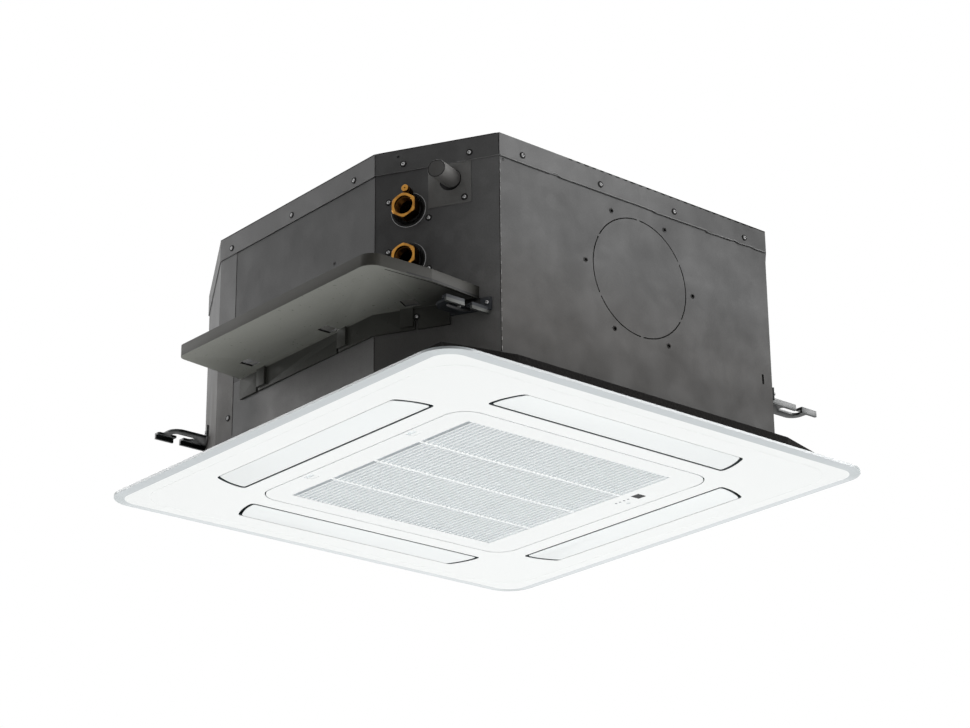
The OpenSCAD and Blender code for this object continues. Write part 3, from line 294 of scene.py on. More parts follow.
def galvanised(name, level, foot=1.0, warmth=0.0, across=(-0.22, 0.2, 1.0), tray=0.0):
    """Sheet of that grey level. foot is its share of it low down; across gives two places
    along X and the share at the second: both paint light and shade. tray is the depth of the
    painted shadow just above the tray's floor."""
    def build(g):
        point, x, y, z = g.place()
        cloud = g.noise(point, 7.0, 3.0)
        stain = g.noise(point, 26.0, 4.0)
        grain = g.noise(point, 620.0, 2.0)
        crystal = g.cells(point, 85.0)
        streak = g.noise(point, 5.0, 3.0, (22.0, 22.0, 1.4))
        tone = ((cloud - 0.5) * 0.30 + (stain - 0.5) * 0.26 + (grain - 0.5) * 0.30
                + (crystal - 0.5) * 0.05 + (streak - 0.5) * 0.10)
        # low, contact and the ramp along X paint light and shade; inside paints the tray's shadow.
        low = z.ramp(*SHEET_FOOT)
        if tray:
            low = low * y.ramp(*TRAY_REACH)
        contact = z.ramp(*FOAM_CONTACT, 0.7 if foot < 1.0 else 1.0, 1.0)
        start, end, share = across
        floor, top = TRAY_INSIDE
        inside = z.ramp(*floor) * z.ramp(*top) * x.ramp(*TRAY_INSIDE_END) * tray
        shade = ((tone * 0.9 + 1.0) * (1.0 - low * (1.0 - foot)) * contact
                 * x.ramp(start, end, 1.0, share) * (1.0 - inside))
        tint = low * warmth
        colour = g.node("ShaderNodeCombineColor", None, {
            "Red": shade * (1.0 + tint) * level, "Green": shade * level,
            "Blue": shade * (1.0 - tint) * level})
        dents = g.noise(point, 11.0, 1.0)
        height = dents * 0.7 + stain * 0.12 + grain * 0.05
        return {"Base Color": colour, "Roughness": (stain * 0.25 + 0.42),
                "Metallic": crystal * 0.06 + 0.04,
                "Normal": g.bump(height, 0.0012, 0.5)}
    finish(name, {"Specular IOR Level": 0.18}, build)


# Each face's grey level paints how much light falls on it, and foot and across its fall-off.
galvanised("sheet_front", 0.094, 0.28, 0.10, (-0.22, 0.2, 0.60))
galvanised("sheet_left", 0.055, 2.7, 0.02, tray=0.9)
galvanised("sheet_fold", 0.130, 0.30, 0.08)
galvanised("sheet_corner", 0.108, 1.15, 0.03, (-0.275, -0.215, 1.9), 0.9)
galvanised("sheet_lid", 0.140, 1.0, 0.0, (-0.22, 0.2, 0.33))
galvanised("sheet_plain", 0.24)
print("sheet finishes", len(FINISHES))


# %% [markdown]
# The brass unions are cast and turned, so they have a bright ring where the tool ran and dull
# brown patches where the casting skin stays. The threads and flats are real geometry. Only the
# depth of a union, where hardly any light reaches, is darkened by a mask: the distance out of
# the pipe corner's face tells the mouth from what lies behind it.

# %% Metals
CORNER_START = (0.2875, 0.1595)      # metres from the unit's axis to the pipe corner's edge
CORNER_OUT = (-874.5, -485.1)        # mm out of its face for each metre along X, and along Y
UNION_MOUTH = (14.9, 15.5)           # mm out of the face, where the turned ring begins
# Painted shade: behind the mouth a union keeps only this share of its dull tone.
DEPTH_SHADE = 0.22                    # share of the dull tone that is left behind it


def standing_out(x, y):
    """How far a point stands out of the pipe corner's face, in mm."""
    return (x + CORNER_START[0]) * CORNER_OUT[0] + (y + CORNER_START[1]) * CORNER_OUT[1]


def brass(name, bright, dull, mouth=False):
    """With mouth, the turned ring at the mouth of a union stays bright, and all behind it gets
    painted shade.
    """
    def build(g):
        point, x, y, _ = g.place()
        patch = g.noise(point, 90.0, 3.0).ramp(0.42, 0.66)
        fine = g.noise(point, 900.0, 2.0)
        colour = g.mix(bright, dull, patch * 0.75)
        if mouth:
            depth = tuple(c * DEPTH_SHADE for c in dull)
            colour = g.mix(depth, colour, standing_out(x, y).ramp(*UNION_MOUTH))
        return {"Base Color": colour, "Roughness": patch * 0.25 + fine * 0.12 + 0.24,
                "Normal": g.bump(fine, 0.0002, 0.4)}
    finish(name, {"Metallic": 1.0}, build)


def steel(name, level, rough, metallic=1.0):
    """Grey metal with soft patches and a fine grain."""
    def build(g):
        point = g.point()
        patch = g.noise(point, 60.0, 3.0)
        fine = g.noise(point, 1200.0, 1.0)
        dark, light = ((level * share,) * 3 for share in (0.7, 1.25))
        colour = g.mix(dark, light, patch)
        return {"Base Color": colour, "Roughness": patch * 0.2 + rough,
                "Normal": g.bump(fine, 0.0001, 0.4)}
    finish(name, {"Metallic": metallic}, build)


brass("union_brass", (0.37, 0.18, 0.037), (0.20, 0.085, 0.02), True)
brass("copper_tube", (0.80, 0.36, 0.20), (0.42, 0.17, 0.09))
steel("bright_steel", 0.34, 0.25)
steel("dull_steel", 0.30, 0.42)
steel("motor_alloy", 0.16, 0.45, 0.6)
steel("fin_alloy", 0.62, 0.35)
print("metal finishes made")


# %% [markdown]
# Painted metal shows its wear where hands and tools touch it. A noise chooses the places, and
# mixes a worn colour into the paint there. Three hangers and the small plate of the drain have
# this finish.

# %% Painted metal
def painted(name, colour, worn, wear, rough=0.5, specular=0.3):
    """Paint that is rubbed to the worn colour in places. wear is the share of that rub."""
    def build(g):
        point = g.point()
        cloud = g.noise(point, 16.0, 4.0)
        fine = g.noise(point, 500.0, 2.0)
        rub = (g.noise(point, 75.0, 5.0) + fine * 0.15).ramp(0.62, 0.74) * wear
        base = g.mix(tuple(c * 0.86 for c in colour), tuple(c * 1.14 for c in colour), cloud)
        grain = g.mix(base, tuple(c * 0.75 for c in colour), fine.ramp(0.35, 0.75) * 0.35)
        return {"Base Color": g.mix(grain, worn, rub), "Roughness": cloud * 0.16 + rough - 0.08,
                "Normal": g.bump(fine * 0.4 + cloud, 0.0003, 0.3)}
    finish(name, {"Specular IOR Level": specular}, build)


painted("hanger_black", (0.024, 0.030, 0.030), (0.10, 0.105, 0.10), 0.5, 0.4, 0.4)
painted("plate_grey", (0.275, 0.272, 0.265), (0.32, 0.31, 0.305), 0.3, 0.5, 0.2)
print("painted finishes made")


# %% [markdown]
# The drain stub is a zinc grey pipe that comes out of a dark hole. The hole is far too narrow
# for light, so over its last millimetres the pipe gets black painted shade.

# %% Drain stub's zinc
# Painted shade: the pipe turns black where it enters the sheet.
STUB_ROOT = (0.2, 2.4)               # mm out of the face, from black to grey


def stub_finish():
    def build(g):
        point, x, y, _ = g.place()
        cloud = g.noise(point, 40.0, 3.0)
        zinc = g.mix((0.145, 0.142, 0.137), (0.185, 0.181, 0.175), cloud)
        return {"Base Color": g.mix((0.004, 0.004, 0.004), zinc,
                                    standing_out(x, y).ramp(*STUB_ROOT)),
                "Roughness": cloud * 0.16 + 0.42}
    finish("drain_grey", {"Specular IOR Level": 0.2}, build)


stub_finish()
print("drain finish made")


# %% [markdown]
# The hanger of the pipe corner is a dark plate, and its turned lip gets a painted highlight. The
# lip is the part below the plate, so its height alone tells it. Seen from below, the walls of its
# slot get black painted shade.

# %% Hanger of the pipe corner
# The lip below gets a painted highlight.
HANGER_LIP = (-0.9, -0.3)            # mm up: the lip lies below, the plate above
HANGER_SLOT_Y, HANGER_SLOT_X, HANGER_SLOT_Z = (-0.2690, -0.2540), -0.2745, 0.0003   # metres


def hanger_finish():
    def build(g):
        point, x, y, z = g.place()
        cloud = g.noise(point, 30.0, 4.0)
        lip = g.mix((0.10, 0.105, 0.10), (0.17, 0.175, 0.165), cloud)
        plate = g.mix((0.034, 0.038, 0.043), (0.056, 0.061, 0.069), cloud)
        # Black painted shade on the walls of the slot.
        slot = ((y > HANGER_SLOT_Y[0]) * (y < HANGER_SLOT_Y[1]) * (x > HANGER_SLOT_X)
                * (z > HANGER_SLOT_Z))
        plate = g.mix(plate, (0.003, 0.003, 0.003), slot)
        return {"Base Color": g.mix(lip, plate, (z * 1000.0).ramp(*HANGER_LIP)),
                "Roughness": cloud * 0.16 + 0.42}
    finish("hanger_grey", {"Specular IOR Level": 0.2}, build)


hanger_finish()
print("hanger finish made")


# %% [markdown]
# The drip tray is pressed from one sheet and painted a warm olive grey. Its rim gets painted
# shade, its underside painted light and its skirt painted shade again. All three differ in height,
# so ramps along Z part them, and no second material is needed. Towards the pipe corner the
# underside gets painted shade, and the walls of its holes black painted shade.

# %% Drip tray's paint
TRAY_UNDERSIDE, TRAY_SKIRT = (15.8, 15.2), (14.6, 13.8)      # mm up
TRAY_NEAR, TRAY_NEAR_SHADE = (0.762, 0.647), (-0.10, -0.05)  # direction, and metres along it
TRAY_HOLE_Z, TRAY_HOLE_X = (0.0152, 0.0177), -0.33           # metres: the walls of its holes


def tray_finish():
    def build(g):
        point, x, y, z = g.place()
        cloud = g.noise(point, 12.0, 4.0)
        fine = g.noise(point, 420.0, 2.0)
        speck = g.noise(point, 230.0, 1.0).ramp(0.73, 0.77)
        under = (z * 1000.0).ramp(*TRAY_UNDERSIDE)
        pad = (z * 1000.0).ramp(*TRAY_SKIRT)
        near = (x * TRAY_NEAR[0] - y * TRAY_NEAR[1]).ramp(*TRAY_NEAR_SHADE, 1.0, 0.45)
        # Painted light and shade of the one paint: the rim dark, the underside pale, the skirt
        # dark.
        wall = g.mix((0.028, 0.027, 0.022), (0.046, 0.044, 0.037), cloud)
        floor = g.mix((0.172, 0.175, 0.157), (0.212, 0.216, 0.196), cloud + (fine - 0.5) * 0.5)
        skirt = g.mix((0.040, 0.041, 0.036), (0.060, 0.061, 0.054), cloud)
        # Painted shade on the underside towards the pipe corner.
        floor = g.mix((0.03, 0.03, 0.027), floor, near)
        # Black painted shade on the walls of the holes.
        hole = (z > TRAY_HOLE_Z[0]) * (z < TRAY_HOLE_Z[1]) * (x > TRAY_HOLE_X)
        wall = g.mix(wall, (0.003, 0.003, 0.003), hole)
        colour = g.mix(g.mix(wall, floor, under), skirt, pad)
        return {"Base Color": g.mix(colour, (0.03, 0.028, 0.024), speck * 0.6),
                "Roughness": cloud * 0.2 + 0.45,
                "Normal": g.bump(fine * 0.4 + cloud, 0.0005, 0.3)}
    finish("tray_paint", {"Specular IOR Level": 0.2}, build)


tray_finish()
print("tray finish made")


# %% [markdown]
# Moulded plastic isn't perfectly even: its tone drifts a little and its skin has a very fine
# texture. Two noises give both, one broad for the tone and one fine for the skin, and one
# function serves every small plastic part.

# %% Moulded plastic
def plastic(name, colour, rough=0.4, drift=0.03, grain=0.0001, specular=0.4):
    """drift is how far the tone strays from the colour, grain the depth of the skin."""
    def build(g):
        point = g.point()
        cloud = g.noise(point, 8.0, 2.0)
        fine = g.noise(point, 1500.0, 1.0)
        low, high = (tuple(c * k for c in colour) for k in (1 - drift, 1 + drift))
        return {"Base Color": g.mix(low, high, cloud * 0.7 + fine * 0.3),
                "Roughness": cloud * 0.12 + rough - 0.06, "Normal": g.bump(fine, grain, 0.3)}
    finish(name, {"Specular IOR Level": specular}, build)


plastic("bell_plastic", (0.55, 0.56, 0.55), 0.45)
plastic("fan_plastic", (0.030, 0.031, 0.033), 0.4, 0.1)
plastic("pump_plastic", (0.56, 0.54, 0.49), 0.45)
plastic("frame_plastic", (0.42, 0.44, 0.45), 0.5)
plastic("board_lacquer", (0.03, 0.14, 0.07), 0.35, 0.15)
plastic("window_smoke", (0.010, 0.011, 0.013), 0.3, 0.05, 0.0, 0.1)
plastic("lens_smoke", (0.16, 0.19, 0.21), 0.15, 0.05, 0.0, 0.5)
plastic("button_plastic", (0.62, 0.66, 0.67), 0.4)
plastic("seal_rubber", (0.010, 0.010, 0.010), 0.6, 0.2, 0.0003, 0.2)
print("plastic finishes made")


# %% [markdown]
# The panel's bevel is a polished strip of the mould, so it is glossier than the textured face,
# and it gets a cooler, darker grey. On the two sides towards -X and -Y that grey gets painted
# shade, and at the corners it turns darker. Its edge follows a rounded square, worked out from x
# and y, so that no seam has to be cut into the mesh. The walls of the joints round the vanes and
# the grille face each other, and hardly any light reaches them: they get painted shade, a dim
# tone.

# %% Panel's plastic
def rounded_square(x, y, half, radius):
    """Distance outside a rounded square, in metres."""
    dx, dy = (abs(x) - (half - radius)).most(0.0), (abs(y) - (half - radius)).most(0.0)
    return (dx * dx + dy * dy) ** 0.5 - radius


PANEL_HALF, BEVEL, PANEL_R = 324 * MM, 13 * MM, 38 * MM
BEVEL_EDGE = (-0.4, 0.6)              # mm outside the face's own outline
# GROOVE is painted shade on the walls of the joints.
GROOVE = (0.105, 0.135, 0.145)        # tone of the joints' walls
GROOVE_START = (-78.75, -78.2)        # mm up
GROOVE_OUTER, GROOVE_INNER, GROOVE_R = 0.285, 0.205, 0.03      # the band that holds the outlets


def panel_finish():
    def build(g):
        point, x, y, z = g.place()
        cloud = g.noise(point, 6.0, 2.0)
        fine = g.noise(point, 1500.0, 1.0)
        out = rounded_square(x, y, PANEL_HALF - BEVEL, PANEL_R - BEVEL)
        strip = (out * 1000.0).ramp(*BEVEL_EDGE)
        face = g.mix((0.872, 0.890, 0.882), (0.895, 0.912, 0.905), cloud * 0.6 + fine * 0.4)
        edge = g.mix((0.66, 0.70, 0.715), (0.71, 0.75, 0.76), cloud)
        # Painted shade on the bevel of the two sides towards -X and -Y.
        edge = g.mix((0.54, 0.575, 0.59), edge, (x + y).ramp(-0.12, 0.12))
        edge = g.mix(edge, (0.55, 0.59, 0.60), abs(x).least(abs(y)).ramp(0.285, 0.305))
        joint = ((z * 1000.0).ramp(*GROOVE_START)
                 * (rounded_square(x, y, GROOVE_OUTER, GROOVE_R) < 0.0)
                 * (rounded_square(x, y, GROOVE_INNER, GROOVE_R) > 0.0))
        return {"Base Color": g.mix(g.mix(face, edge, strip), GROOVE, joint),
                "Roughness": 0.44 - strip * 0.2,
                "Normal": g.bump(fine, 0.0001, 0.25)}
    finish("panel_plastic", {"Specular IOR Level": 0.35}, build)


panel_finish()
print("panel finish made")


# %% [markdown]
# The vanes close flush with the panel, and their edges are the other walls of its joints, with
# the same painted shade. The grille's slats are thin enough to pass light on. Subsurface scattering
# would do that too, but slowly and with noise, so their flanks get painted light instead: a faint
# glow.

# %% Plastic of the vanes and the grille
VANE_EDGE, SLAT_FLANK = (-78.7, -78.2), (-78.9, -78.3)        # mm up, just behind the face
# SLAT_GLOW is painted light: a faint glow on the slats' flanks.
SLAT_GLOW = (0.125, 0.134, 0.143)


def vane_finish():
    def build(g):
        point, _, _, z = g.place()
        cloud = g.noise(point, 8.0, 2.0)
        face = g.mix((0.862, 0.892, 0.888), (0.877, 0.907, 0.904), cloud)
        # Painted shade on the vane's edges, the walls of the joints.
        return {"Base Color": g.mix(face, GROOVE, (z * 1000.0).ramp(*VANE_EDGE)),
                "Roughness": cloud * 0.12 + 0.28}
    finish("vane_plastic", {"Specular IOR Level": 0.4}, build)


def grille_finish():
    def build(g):
        point, _, _, z = g.place()
        cloud = g.noise(point, 8.0, 2.0)
        glow = (z * 1000.0).ramp(*SLAT_FLANK)
        return {"Base Color": g.mix((0.865, 0.883, 0.877), (0.880, 0.898, 0.892), cloud),
                "Roughness": cloud * 0.12 + 0.36,
                "Emission Color": g.mix((0.0, 0.0, 0.0), SLAT_GLOW, glow)}
    finish("grille_plastic", {"Specular IOR Level": 0.35, "Emission Strength": 1.0}, build)


vane_finish()
grille_finish()
print("vane and grille finishes made")


# %% [markdown]
# Foam is black with open pores, and the filter is a net of fine threads. Both
# are too fine to model, so a Voronoi bump makes the pores, and two square waves make the net.

# %% Foam and net
NET_WAVE = 4200.0                    # radians a metre: a thread each 1.5 mm


def foam_finish():
    def build(g):
        point = g.point()
        pore = g.node("ShaderNodeTexVoronoi", None, {"Vector": point, "Scale": 420.0})["Distance"]
        cloud = g.noise(point, 20.0, 3.0)
        colour = g.mix((0.006, 0.006, 0.006), (0.022, 0.020, 0.019), pore * 0.7 + cloud * 0.4)
        return {"Base Color": colour, "Roughness": cloud * 0.1 + 0.85,
                "Normal": g.bump(pore, 0.0006, 0.7)}
    finish("black_foam", {"Specular IOR Level": 0.1}, build)


def net_finish():
    def build(g):
        _, x, y, _ = g.place()
        thread_x = x.math("SINE", x * NET_WAVE)
        thread_y = y.math("SINE", y * NET_WAVE)
        thread = thread_x.most(thread_y).ramp(0.1, 0.6)
        return {"Base Color": g.mix((0.30, 0.32, 0.34), (0.60, 0.62, 0.64), thread),
                "Roughness": 0.8 - thread * 0.1, "Normal": g.bump(thread, 0.0002, 0.6)}
    finish("filter_net", {"Specular IOR Level": 0.2}, build)


foam_finish()
net_finish()
print("finishes", len(FINISHES))

# %% [markdown]
# ## CAD solids that keep their shape
# Most pieces look right as the CAD model gives them, so they are never moved or remeshed. Each
# only gets a finish in its material slots, and a table of finishes keeps the choice in one place.

# %% Finishes for the CAD nodes
NODE_FINISH = {
    "sheet_front": ["side_front", "side_back"],
    "sheet_left": ["side_left"],
    "sheet_fold": ["side_right", "corner_left", "corner_right", "corner_far"],
    "sheet_corner": ["corner_pipe"],
    "black_foam": ["case_liner", "drain_pan", "panel_duct"],
    "fin_alloy": ["coil_fins"],
    "copper_tube": ["coil_tubes"],
    "dull_steel": ["coil_plates", "motor_mount", "control_box", "control_lid"],
    "bright_steel": ["hinge_pins", "motor_shaft", "tray_screws", "panel_screws", "case_screws"],
    "motor_alloy": ["fan_motor"],
    "pump_plastic": ["drain_pump", "pump_hose", "float_stem", "float_ring", "terminal_block",
                     "vane_motors"],
    "board_lacquer": ["control_board"],
    "frame_plastic": ["filter_frame"],
    "bell_plastic": ["display_box", "bell_mouth"],
    "filter_net": ["filter_mesh"],
    "window_smoke": ["receiver_window"],
    "lens_smoke": ["indicator_lenses"],
    "button_plastic": ["manual_button"],
    "panel_plastic": ["panel_frame"],
    "grille_plastic": ["intake_grille", "latch_a", "latch_b"],
    "vane_plastic": ["vane_left", "vane_front", "vane_right", "vane_back"],
    "sheet_lid": ["top_cover"],
    "hanger_black": ["hanger_left", "hanger_right", "hanger_far"],
    "hanger_grey": ["hanger_pipe"],
    "drain_grey": ["drain_stub"],
    "plate_grey": ["drain_plate"],
    "tray_paint": ["drip_tray"],
    "union_brass": ["union_upper", "union_lower", "bleed_screw"],
    "seal_rubber": ["pipe_grommets", "cable_grommet"],
    "fan_plastic": ["impeller"],
}


def paint_node(node, finish_name):
    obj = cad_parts[node]
    if not obj.material_slots:
        obj.data.materials.append(None)
    for holder in obj.material_slots:
        holder.material = FINISHES[finish_name]


for finish_name, nodes in NODE_FINISH.items():
    for node in nodes:
        paint_node(node, finish_name)
bare = sorted(set(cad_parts) - {n for names in NODE_FINISH.values() for n in names})
print("nodes without a finish:", bare)

# %% [markdown]
# ## Places on the casing
# The fittings of the pipe corner are drawn along their own axis and then set on the corner by a
# matrix, as a fitter would measure them: so far along the face, so high, and square out of it.

# %% Faces of the casing
HALF = 287.5                                                     # half the casing's width
PIPE_CUT, LEFT_CUT, PLAIN_CUT = (71, 128), (84, 148), (90, 90)   # cut off along X and Y
PIPE_RUN = Vector((PIPE_CUT[0], -PIPE_CUT[1], 0)).normalized()
PIPE_START = Vector((-HALF, -HALF + PIPE_CUT[1], 0))
UP = Vector((0, 0, 1))
FACES = {  # a point on the face, and the direction along it
    "pipe": (PIPE_START, PIPE_RUN),
    "left": (Vector((-HALF, 0, 0)), Vector((0, -1, 0))),
    "front": (Vector((0, -HALF, 0)), Vector((1, 0, 0))),
    "right": (Vector((HALF, 0, 0)), Vector((0, 1, 0))),
    "back": (Vector((0, HALF, 0)), Vector((-1, 0, 0))),
}


def on_face(face, along, height, out=0.0):
    """A point on a face, in metres, and the direction square out of it. The measures are in mm,
    and height counts from the panel's face."""
    start, run = FACES[face]
    outward = run.cross(UP)
    return (start + run * along + UP * (height + FACE) + outward * out) * MM, outward


def seat(face, along, height):
    """The matrix that sets a piece drawn along Z onto a face, with its X along the face."""
    spot, outward = on_face(face, along, height)
    run = FACES[face][1]
    turn = Matrix((run, outward.cross(run), outward)).transposed().to_4x4()
    return Matrix.Translation(spot) @ turn


print("pipe corner faces", [round(c, 3) for c in on_face("pipe", 0, 0)[1]])

# %% [markdown]
# Every mesh made below goes through one function. It shades and paints the mesh, and ties the
# piece to the body that it moves with. Edges sharper than the crease angle stay sharp, so folded
# sheet looks flat and a turned part looks round. An Edge Split modifier would give the same
# look, but it cuts the mesh open.

# %% Keeping and joining pieces
def keep(name, mesh, finish_name, body, replaced=(), crease=35.0):
    """A mesh becomes a piece of the object: shaded, painted, and riding on its body."""
    mesh.name = name
    mesh.materials.clear()
    mesh.materials.append(FINISHES[finish_name])
    mesh.shade_smooth()
    mesh.set_sharp_from_angle(angle=math.radians(crease))
    obj = bpy.data.objects.new(name, mesh)
    SCENE.collection.objects.link(obj)
    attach(obj, body)
    if replaced:
        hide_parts(*replaced)
    print(name, len(mesh.polygons), "faces")


def mesh_from(bm, name):
    """A bmesh becomes a mesh whose faces point outwards."""
    bmesh.ops.recalc_face_normals(bm, faces=bm.faces)
    mesh = bpy.data.meshes.new(name)
    bm.to_mesh(mesh)
    bm.free()
    return mesh


# %% [markdown]
# ## Turned parts
# A union, a seal and a pipe end are all rings. A Screw modifier would spin a profile, but it
# can't make hexagon flats or a thread. Here a ring is a closed loop of stations, and each
# station gives its radius as a function of the angle, so one loop holds flats, chamfers and a
# helical thread.

# %% A ring from stations
def ring(bm, stations, steps, matrix):
    """stations: a height and a radius in mm, round a closed loop. A radius may be a function of
    the angle and the height."""
    loops = []
    for height, radius in stations:
        loop = []
        for i in range(steps):
            a = 2 * math.pi * i / steps
            r = radius(a, height) if callable(radius) else radius
            point = Vector((r * math.cos(a), r * math.sin(a), height)) * MM
            loop.append(bm.verts.new(matrix @ point))
        loops.append(loop)
    for k, loop in enumerate(loops):
        following = loops[(k + 1) % len(loops)]
        for i in range(steps):
            j = (i + 1) % steps
            bm.faces.new((loop[i], loop[j], following[j], following[i]))


def fillet(height, radius, r, quarter):
    """A quarter of a round edge as stations. quarter 0..3 starts at angle 0, 90, 180 or 270."""
    pts = []
    for k in range(4):
        a = math.radians(90 * quarter + 30 * k)
        pts.append((height + r * math.sin(a), radius + r * math.cos(a)))
    return pts


def block(bm, matrix, centre, size):
    """A box, with its centre and size in mm. Returns its corners."""
    corners = bmesh.ops.create_cube(bm, size=1.0)["verts"]
    for v in corners:
        point = Vector([c + s * t for c, s, t in zip(centre, size, v.co)]) * MM
        v.co = matrix @ point
    return corners


# %% [markdown]
# A union is a hexagon bar with a threaded bore. Its corners are turned off at both ends, which
# gives the curved edges of every real nut, and the bore carries a true helix. The turns could be
# a bump in the material, but the camera looks straight into the mouth.

# %% Unions with hexagon and thread
UNION_AF, BORE_R, TAIL_R, MOUTH_R = 27.0, 9.3, 11.0, 10.7
THREAD_PITCH, THREAD_DEPTH, THREAD_STEP, THREAD_STEPS = 1.81, 1.0, 0.36, 27
HEX_START, HEX_END, HEX_ROUND = 1.8, 15.8, 13.3      # its ends, and the radius of their edges
CHAMFER_R, CHAMFER_SLOPE, CHAMFER_L, CORNER_R = 13.7, 1.4, 1.3, 15.6
UNION_ALONG = 40.0
UNION_PLACES = {"union_upper": 212.0, "union_lower": 152.0}
BLEED_ALONG, BLEED_UP = 2.0, 19.6                    # the air bleed, from the upper union's axis


def chamfer(h):
    """The largest radius that the lathe leaves at that height."""
    from_end = min(h - HEX_START, HEX_END - h)
    return CHAMFER_R + CHAMFER_SLOPE * from_end if from_end < CHAMFER_L else CORNER_R


def hexed(a, h):
    flat = UNION_AF / 2 / math.cos(((a + math.pi / 6) % (math.pi / 3)) - math.pi / 6)
    return min(flat, chamfer(h))


def thread(a, h):
    phase = (h / THREAD_PITCH - a / (2 * math.pi)) % 1.0
    return BORE_R + THREAD_DEPTH * (1 - abs(2 * phase - 1))


def union_ring(bm, matrix):
    stations = [(-9.0, TAIL_R), (HEX_START, TAIL_R), (HEX_START, HEX_ROUND)]
    stations += [(h, hexed) for h in (1.9, 2.5, 3.1, 8.8, 14.5, 15.1, 15.7)]
    stations += [(HEX_END, HEX_ROUND), (HEX_END, MOUTH_R + 0.4), (15.4, MOUTH_R), (12.6, MOUTH_R),
                 (12.3, BORE_R + 0.5)]
    stations += [(12.2 - THREAD_STEP * k, thread) for k in range(THREAD_STEPS)]
    stations += [(2.3, 9.8), (-9.0, 9.8)]
    ring(bm, stations, 96, matrix)


def bleed_boss(bm, matrix):
    """Neck and sleeve of the air bleed on top of the upper union."""
    shift = matrix @ Matrix.Translation(Vector((BLEED_ALONG, BLEED_UP, 0)) * MM)
    ring(bm, [(3.0, 4.6), *fillet(12.4, 4.0, 0.6, 0), *fillet(12.4, 3.1, 0.5, 1), (5.0, 2.6),
              (3.0, 2.6)], 32, shift)
    neck = block(bm, matrix, (BLEED_ALONG, 14.6, 8.2), (5.6, 5.6, 8.0))
    edges = {e for v in neck for e in v.link_edges}
    bmesh.ops.bevel(bm, geom=list(edges), offset=1.2 * MM, segments=3, profile=0.5, affect="EDGES")


for union, height in UNION_PLACES.items():
    bm = bmesh.new()
    matrix = seat("pipe", UNION_ALONG, height)
    union_ring(bm, matrix)
    if union == "union_upper":
        bleed_boss(bm, matrix)
    keep(union + "_turned", mesh_from(bm, union), "union_brass", "unit", (union,))

# %% [markdown]
# The air bleed's screw is turned from one bar. Two blocks in the mouth of its small bore leave
# the slot for a screwdriver between them, which is simpler than cutting it with a Boolean.

# %% Bleed screw with its slot
SLOT_SIDE, SLOT_HEIGHT, SLOT_BLOCK = 1.55, 15.4, (5.6, 1.9, 1.9)
bm = bmesh.new()
bleed = seat("pipe", UNION_ALONG + BLEED_ALONG, UNION_PLACES["union_upper"] + BLEED_UP)
ring(bm, [(5.6, 0.9), (5.6, 2.5), (13.2, 2.5), (13.2, 3.7), *fillet(16.0, 3.5, 0.5, 0),
          (16.5, 0.9)], 32, bleed)
for side in (-1, 1):
    block(bm, bleed, (0, side * SLOT_SIDE, SLOT_HEIGHT), SLOT_BLOCK)
keep("bleed_screw_turned", mesh_from(bm, "bleed"), "union_brass", "bleed", ("bleed_screw",))

# %% [markdown]
# Each union passes the sheet through a rubber seal: a flange outside, a neck in the hole and a
# soft lip on the pipe. A torus would look like an O-ring, so its section is drawn station by
# station.

# %% Rubber seals round the unions
bm = bmesh.new()
for height in UNION_PLACES.values():
    seal = seat("pipe", UNION_ALONG, height)
    ring(bm, [(-9.5, 11.35), (-9.5, 18.5), (-0.1, 18.5), (0.1, 19.9), *fillet(0.7, 19.6, 0.6, 0),
              (1.3, 18.4), (0.5, 17.2), (-1.6, 15.5), (-2.6, 13.2), (-1.4, 11.35)], 64, seal)
keep("pipe_seals", mesh_from(bm, "seals"), "seal_rubber", "unit", ("pipe_grommets",))

# %% [markdown]
# The drain stub is a pipe with a collar at the sheet. Its mouth is still closed, as it leaves
# the factory. It leans down a little in the photograph. A rotation would lift its root off the
# sheet, so a shear leans it and leaves the root where it is.

# %% Drain stub
STUB_ALONG, STUB_UP = 91.0, 240.5
STUB_LEAN = (-0.049, -0.122)         # along the face and up it, for each mm out
STUB_MOUTH = (89.0, 235.5, 41.0)     # where that brings the middle of its mouth
bm = bmesh.new()
lean = Matrix(((1, 0, STUB_LEAN[0], 0), (0, 1, STUB_LEAN[1], 0), (0, 0, 1, 0), (0, 0, 0, 1)))
stub = seat("pipe", STUB_ALONG, STUB_UP) @ lean
ring(bm, [(-8.5, 8.5), (-8.5, 10.5), (-1.0, 10.5), (-1.0, 14.6), (-0.05, 14.6), (-0.05, 10.5),
          (24.0, 10.45), *fillet(40.7, 10.0, 0.45, 0), (40.9, 9.3), (40.7, 8.9), (40.7, 0.3),
          (39.8, 0.3), (39.8, 8.5)], 64, stub)
keep("drain_stub_turned", mesh_from(bm, "stub"), "drain_grey", "unit", ("drain_stub",))

# %% [markdown]
# ## Rounded edges for the folded and moulded parts
# CAD edges are perfectly sharp, real ones aren't: pressed sheet has a small radius and a mould
# leaves a round. A copy of the CAD mesh is welded, its flat triangles are joined into whole
# faces, and a Bevel modifier rounds every edge sharper than a limit. The bevel is applied, so
# the piece stays a plain mesh.

# %% Copies with rounded edges
WELD = 4e-6                                           # metres
FLAT_ANGLE, EDGE_ANGLE = math.radians(0.6), math.radians(40.0)
HOLE_REACH, HOLE_DEPTH, HOLE_GROWTH = 9 * MM, 4 * MM, 1.4


